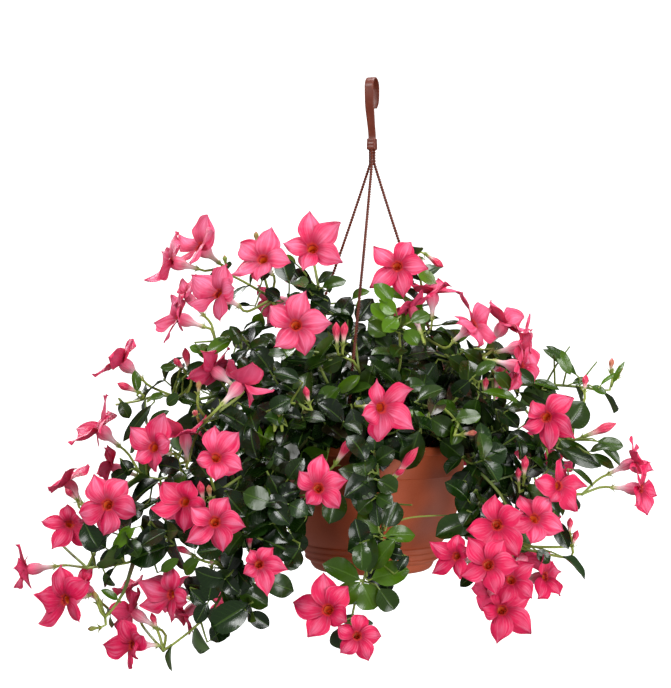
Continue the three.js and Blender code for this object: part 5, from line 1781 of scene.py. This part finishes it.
    def clear(self, base: Array, along: Array, out: Array, length: Array) -> Array:
        """Says which leaves keep clear of the pot and of the flowers' faces.

        None of three points on a leaf may be inside the pot, close in front of a face, between
        EYE and a face that isn't far back, or in a gap.

        Args:
            base: Where each leaf is joined.
            along: Its direction.
            out: The way its upper side looks.
            length: Its length.

        Returns:
            True for each leaf that is clear.
        """
        shares = np.array(self.tested)[:, None, None]
        sag = shares**2 * self.leaf_sag * length[:, None] * out
        points = base + shares * length[:, None] * unit(along) - sag
        height, above = points[..., 2], self.pot_above
        in_pot = np.hypot(points[..., 0], points[..., 1]) < Pot.lip_radius + self.pot_aside
        in_pot &= (height < Pot.rim_top + above) & (height > Pot.base - above)
        throats, ways, radii = self.faces
        offset = points[:, :, None] - throats
        ahead, aside = split(offset, ways)
        behind, before = self.face_room
        close = (ahead > behind) & (ahead < before) & (aside < radii * self.face_share)
        nearer, beside = split(offset, unit(throats - EYE))
        hiding = (nearer < self.seen_room) & (beside < radii * self.seen_share)
        hiding &= throats[:, 1] < self.far_back
        middle, size = place([(u, 0, w) for u, w, _ in GAPS]), np.array([row[2] for row in GAPS])
        in_gap = split(points[:, :, None] - EYE, unit(middle - EYE))[1] < size
        return ~(in_pot | close.any(2) | hiding.any(2) | in_gap.any(2)).any(0)

    def twigs(self, path: Path, rng: Draws) -> list[Path]:
        """Lays out the side twigs of a stem, which leave it on alternate sides and turn upwards.

        Args:
            path: The stem.
            rng: Draws their lengths and turns.

        Returns:
            One path for each twig.
        """
        found = []
        runs = np.arange(self.twig_start, path.length - self.twig_end, self.twig_step)
        for index, run in enumerate(runs):
            share = np.array([run / path.length])
            start, stem = path.at(share)[0], path.along(share)[0]
            away = unit(start - self.crown)
            side = np.cross(stem, away)
            turn = math.radians(rng.normal(35, 25) + 180 * (index % 2))
            lean = side * math.cos(turn) + square_to(away, stem) * abs(math.sin(turn))
            reach = rng.uniform(*self.twig_reach)
            middle = start + unit(stem * 0.45 + lean) * reach * 0.5
            end = middle + unit(stem * 0.3 + lean * 0.7 + away * 0.5 + [0, 0, 0.25]) * reach * 0.5
            if math.hypot(*end[:2]) > Pot.lip_radius + 4 or end[2] > Pot.rim_top + 6:
                found.append(Path(np.stack([start, middle, end])))
        return found

    def add_leaves(self, form: Form, path: Path, spacing: float, young: float, rng: Draws) -> None:
        """Adds a stem's opposite leaves, each pair a quarter turn on, where they have room.

        Args:
            form: The mesh in the making.
            path: The stem.
            spacing: From pair to pair.
            young: How young the pair at the tip is.
            rng: Draws small turns, lengths and tones, and each leaf's own form.
        """
        count = max(1, int((path.length - 26) / spacing) + 1)
        index = np.repeat(np.arange(count), 2)
        share = 1 - (index * spacing + 4) / path.length
        base, stem = path.at(share), path.along(share)
        away = unit(base - self.crown)
        side = np.cross(square_to(away, stem), stem)
        half = np.tile([0, 180], count)
        turn = np.radians((index % 2) * 90 + half + 40 + rng.normal(0, 14, len(index)))[:, None]
        across = side * np.cos(turn) + np.cross(stem, side) * np.sin(turn)
        angle = np.radians(rng.normal(62, 10, len(index)) + np.minimum(index, 3) * 4 - 8)[:, None]
        size = np.minimum(1, 0.62 + 0.13 * index) * rng.uniform(0.8, 1.12, len(index))
        out = away + [0, 0, 0.55] + 0.2 * stem + rng.normal(0, 0.22, base.shape)
        along, length = unit(stem * np.cos(angle) + across * np.sin(angle)), self.leaf_length * size
        youth = np.clip(young - 0.2 * index + rng.normal(0, 0.07, len(index)), 0, 1)
        tone = rng.uniform(0, 1, len(index))
        over_pot = np.hypot(base[:, 0], base[:, 1]) < Pot.lip_radius + 6
        keep = self.clear(base, along, unit(out), length)
        keep &= base[:, 2] > np.where(over_pot, Pot.rim_top + 6, -np.inf)
        if not keep.any():
            return
        base, along, out, length = (rows[keep] for rows in (base, along, out, length))
        width = length * self.leaf_ratio * rng.uniform(0.86, 1.14, len(length))
        rings, marks = Blade().shape(base, along, out, length, width, rng)
        marks |= {"youth": youth[keep, None, None], "tone": tone[keep, None, None]}
        form.add(rings, Finish.LEAF, **marks)

    def add_single_leaves(self, form: Form, name: str, rng: Draws) -> None:
        """Adds a shoot's single leaves, each on a stalk from the nearest point of its stems.

        Args:
            form: The mesh in the making.
            name: The shoot's name.
            rng: Draws how far each tip comes forward and which way each leaf looks.
        """
        rows = self.singles[name]
        count = len(rows)
        if not count:
            return
        seat = rows[:, :3]
        across, height, width, youth = rows[:, 3:].T
        tip = np.stack([across, seat[:, 1] + rng.uniform(-16, 8, count), height], -1)
        base, tip = place(seat), place(tip)
        length = np.linalg.norm(tip - base, axis=1) * 1.05
        out = np.array([0, -1, 0.5]) + rng.normal(0, 0.28, base.shape)
        blade = Blade(rings=11, columns=7, arch=(0.15, 0.75))
        rings, marks = blade.shape(base, tip - base, out, length, width * 1.06, rng)
        tone = rng.uniform(0, 0.8, count)
        # Youth from LEAVES is partly painted light: some brightly lit leaves are given it and come out
        # paler green.
        marks |= {"youth": youth[:, None, None], "tone": tone[:, None, None]}
        form.add(rings, Finish.LEAF, **marks)
        along = unit(tip - base)
        for foot, ahead in zip(base, along):
            path = Path(np.array([self.joint(name, foot), foot - ahead * 5, foot + ahead * 2]))
            form.add(tube(path, np.linspace(1.5, 1, 5), 5), Finish.STEM, youth=0.7)

    def stalk(self, form: Form, start: Array, end: Array, arriving: Array | None = None) -> None:
        """Adds a stalk that leaves one point and arrives at another along a direction.

        Args:
            form: The mesh in the making.
            start: Where it leaves.
            end: Where it arrives.
            arriving: The direction at its end, or nothing for a straight one.
        """
        points = [start, end]
        if arriving is not None:
            bend = min(self.stalk_bend, float(np.linalg.norm(end - start)) * 0.4)
            points = [start, end - arriving * bend, end + arriving]
        path = Path(np.array(points))
        radii = self.stalk_radius * np.linspace(1.12, 1, max(3, int(path.length / 7)))
        shares = np.linspace(0, 1, len(radii))[:, None]
        form.add(tube(path, radii, 6), Finish.STEM, youth=0.72 + 0.28 * shares)

    def build_shoot(self, name: str) -> None:
        """Makes a shoot: its stems, twigs, leaves, runners and single buds.

        Args:
            name: The shoot's name.
        """
        rng, form = seed_of(name), Form(f"foliage_{name}")
        for path in self.bars[name]:
            count = max(6, int(path.length / 14))
            shares = np.linspace(0, 1, count)
            radii = self.root_radius + (self.tip_radius - self.root_radius) * shares
            form.add(tube(path, radii, 7), Finish.STEM, youth=shares[:, None] * 0.95)
            self.add_leaves(form, path, self.pair_spacing, self.tip_youth, rng)
            for twig in self.twigs(path, rng):
                form.add(tube(twig, np.linspace(1.5, 1, 5), 5), Finish.STEM, youth=0.6)
                self.add_leaves(form, twig, self.twig_spacing, 0, rng)
        self.add_single_leaves(form, name, rng)
        for route in RUNNERS.get(name, ()):
            form.add(tube(Path(place(route)), np.linspace(1.2, 0.7, 20), 5), Finish.STEM, youth=0.95)
        for foot, point in place(np.reshape(SHOOTS[name].buds, (-1, 2, 3))):
            self.stalk(form, self.joint(name, foot), foot, unit(point - foot))
            Bud().add_to(form, foot, point)
        settle(form.build(), Slot.LEAF, f"shoot_{name}")

    def build_spray(self, name: str) -> None:
        """Makes a spray: a stalk from its seat to the hub, and a stalk to each flower and bud.

        Args:
            name: The spray's name.
        """
        spray, form = SPRAYS[name], Form(f"spray_{name}")
        shoot, share, stem = spray.on
        seat = self.bars[shoot][stem].at(np.array([share]))[0]
        hub = place(spray.hub)
        if len(spray.flowers) + len(spray.buds) == 1:
            hub = seat
        else:
            self.stalk(form, seat, hub)
            knot = turned([(0.3, -2.2), (1.5, -1.7), (2.1, 0), (1.5, 1.7), (0.3, 2.2)], 8)
            form.add(knot + hub, Finish.STEM, youth=0.7)
        for throat, heading, toward, spin, radius, *steps in spray.flowers:
            spot, along = place(throat), facing(heading, toward)
            tips = (on_sheet(steps) - throat[::2]) * depth_ratio(throat[1]) if steps else ()
            self.stalk(form, hub, spot - along * Flower.funnel_length, along)
            Flower().add_to(form, spot, along, spin, radius, tips)
        for foot, point in place(np.reshape(spray.buds, (-1, 2, 3))):
            self.stalk(form, hub, foot, unit(point - foot))
            Bud().add_to(form, foot, point)
        settle(form.build(), Slot.FLOWER, f"flowers_{name}")


# ---- studio
@dataclass
class Studio:
    """A pale round backdrop, soft lights and the camera."""

    floor: float = -1.25
    lens: float = 85.8
    sensor: float = 36.0
    aim: Spot = (-0.05, 0, -0.45)
    lamps: tuple = (
        ("key", (-1.5, -1.9, 1.25), 0.9, 40), ("fill", (1.9, -1.9, 0.15), 1, 26),
        ("front", (0.8, -2.3, -0.7), 0.8, 20), ("top", (0.2, 0.1, 1.6), 1.2, 36),
        ("rear", (-1.3, 1.7, 0.6), 1, 26), ("edge", (1.15, -0.3, -1.2), 0.8, 9),
    )
    ambient: float = 0.3

    def build_camera(self) -> None:
        """Makes the camera, level and looking along +Y."""
        data = bpy.data.cameras.new("camera")
        data.lens, data.sensor_width, data.sensor_height = self.lens, self.sensor, self.sensor
        data.clip_end = 50
        camera = bpy.data.objects.new("camera", data)
        camera.location = EYE * MM
        camera.rotation_euler = (math.pi / 2, 0, 0)
        bpy.context.scene.collection.objects.link(camera)
        bpy.context.scene.camera = camera

    def build_backdrop(self) -> None:
        """Makes the floor: a wide dish whose flat middle sweeps up into a wall all round."""
        sweep = np.radians(np.linspace(0, 90, 14))
        flat, bend = 2600, 1200
        floor = self.floor / MM
        curve = np.stack([flat + bend * np.sin(sweep), floor + bend * (1 - np.cos(sweep))], -1)
        inner = np.vstack([[(1, floor)], curve, [(flat + bend, 1300)]])
        outer = np.vstack([[(flat + bend + 60, 1300)], curve[::-1] + [60, -60], [(1, floor - 60)]])
        form = Form("backdrop")
        form.add(turned(np.vstack([inner, outer]), 96), Finish.PAPER)
        backdrop = form.build()
        backdrop.visible_diffuse = backdrop.visible_glossy = False

    def light(self, name: str, spot: Spot, size: float, power: float) -> None:
        """Makes a square light that looks at the plant's middle.

        Args:
            name: The light's name.
            spot: Where it is, in metres.
            size: Its side, in metres.
            power: Its power, in watts.
        """
        data = bpy.data.lights.new(name, "AREA")
        data.size, data.energy = size, power
        lamp = bpy.data.objects.new(name, data)
        lamp.location = spot
        aim = np.subtract(self.aim, spot)
        lean = math.atan2(math.hypot(aim[0], aim[1]), -aim[2])
        lamp.rotation_euler = (lean, 0, math.atan2(aim[1], aim[0]) - math.pi / 2)
        bpy.context.scene.collection.objects.link(lamp)

    def build_lights(self) -> None:
        """Makes the lights and the even light all round."""
        for lamp in self.lamps:
            self.light(*lamp)
        world = bpy.data.worlds.new("studio")
        world.use_nodes = True
        glow = world.node_tree.nodes["Background"]
        glow.inputs["Color"].default_value = (1, 1, 1, 1)
        glow.inputs["Strength"].default_value = self.ambient
        bpy.context.scene.world = world
        bpy.context.scene.view_settings.view_transform = "Standard"


def main() -> None:
    """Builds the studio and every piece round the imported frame."""
    logging.basicConfig(level=logging.INFO, format="%(name)s: %(message)s")
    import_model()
    Form.materials.update(make_materials())
    studio = Studio()
    studio.build_camera()
    studio.build_backdrop()
    studio.build_lights()
    pot, hanger, plant = Pot(), Hanger(), Plant()
    pot.build()
    pot.fill()
    hanger.build_hook()
    for side in Hanger.ways:
        hanger.build_strand(side)
    for name in SHOOTS:
        plant.build_shoot(name)
    for name in SPRAYS:
        plant.build_spray(name)


if __name__ == "__main__":
    main()
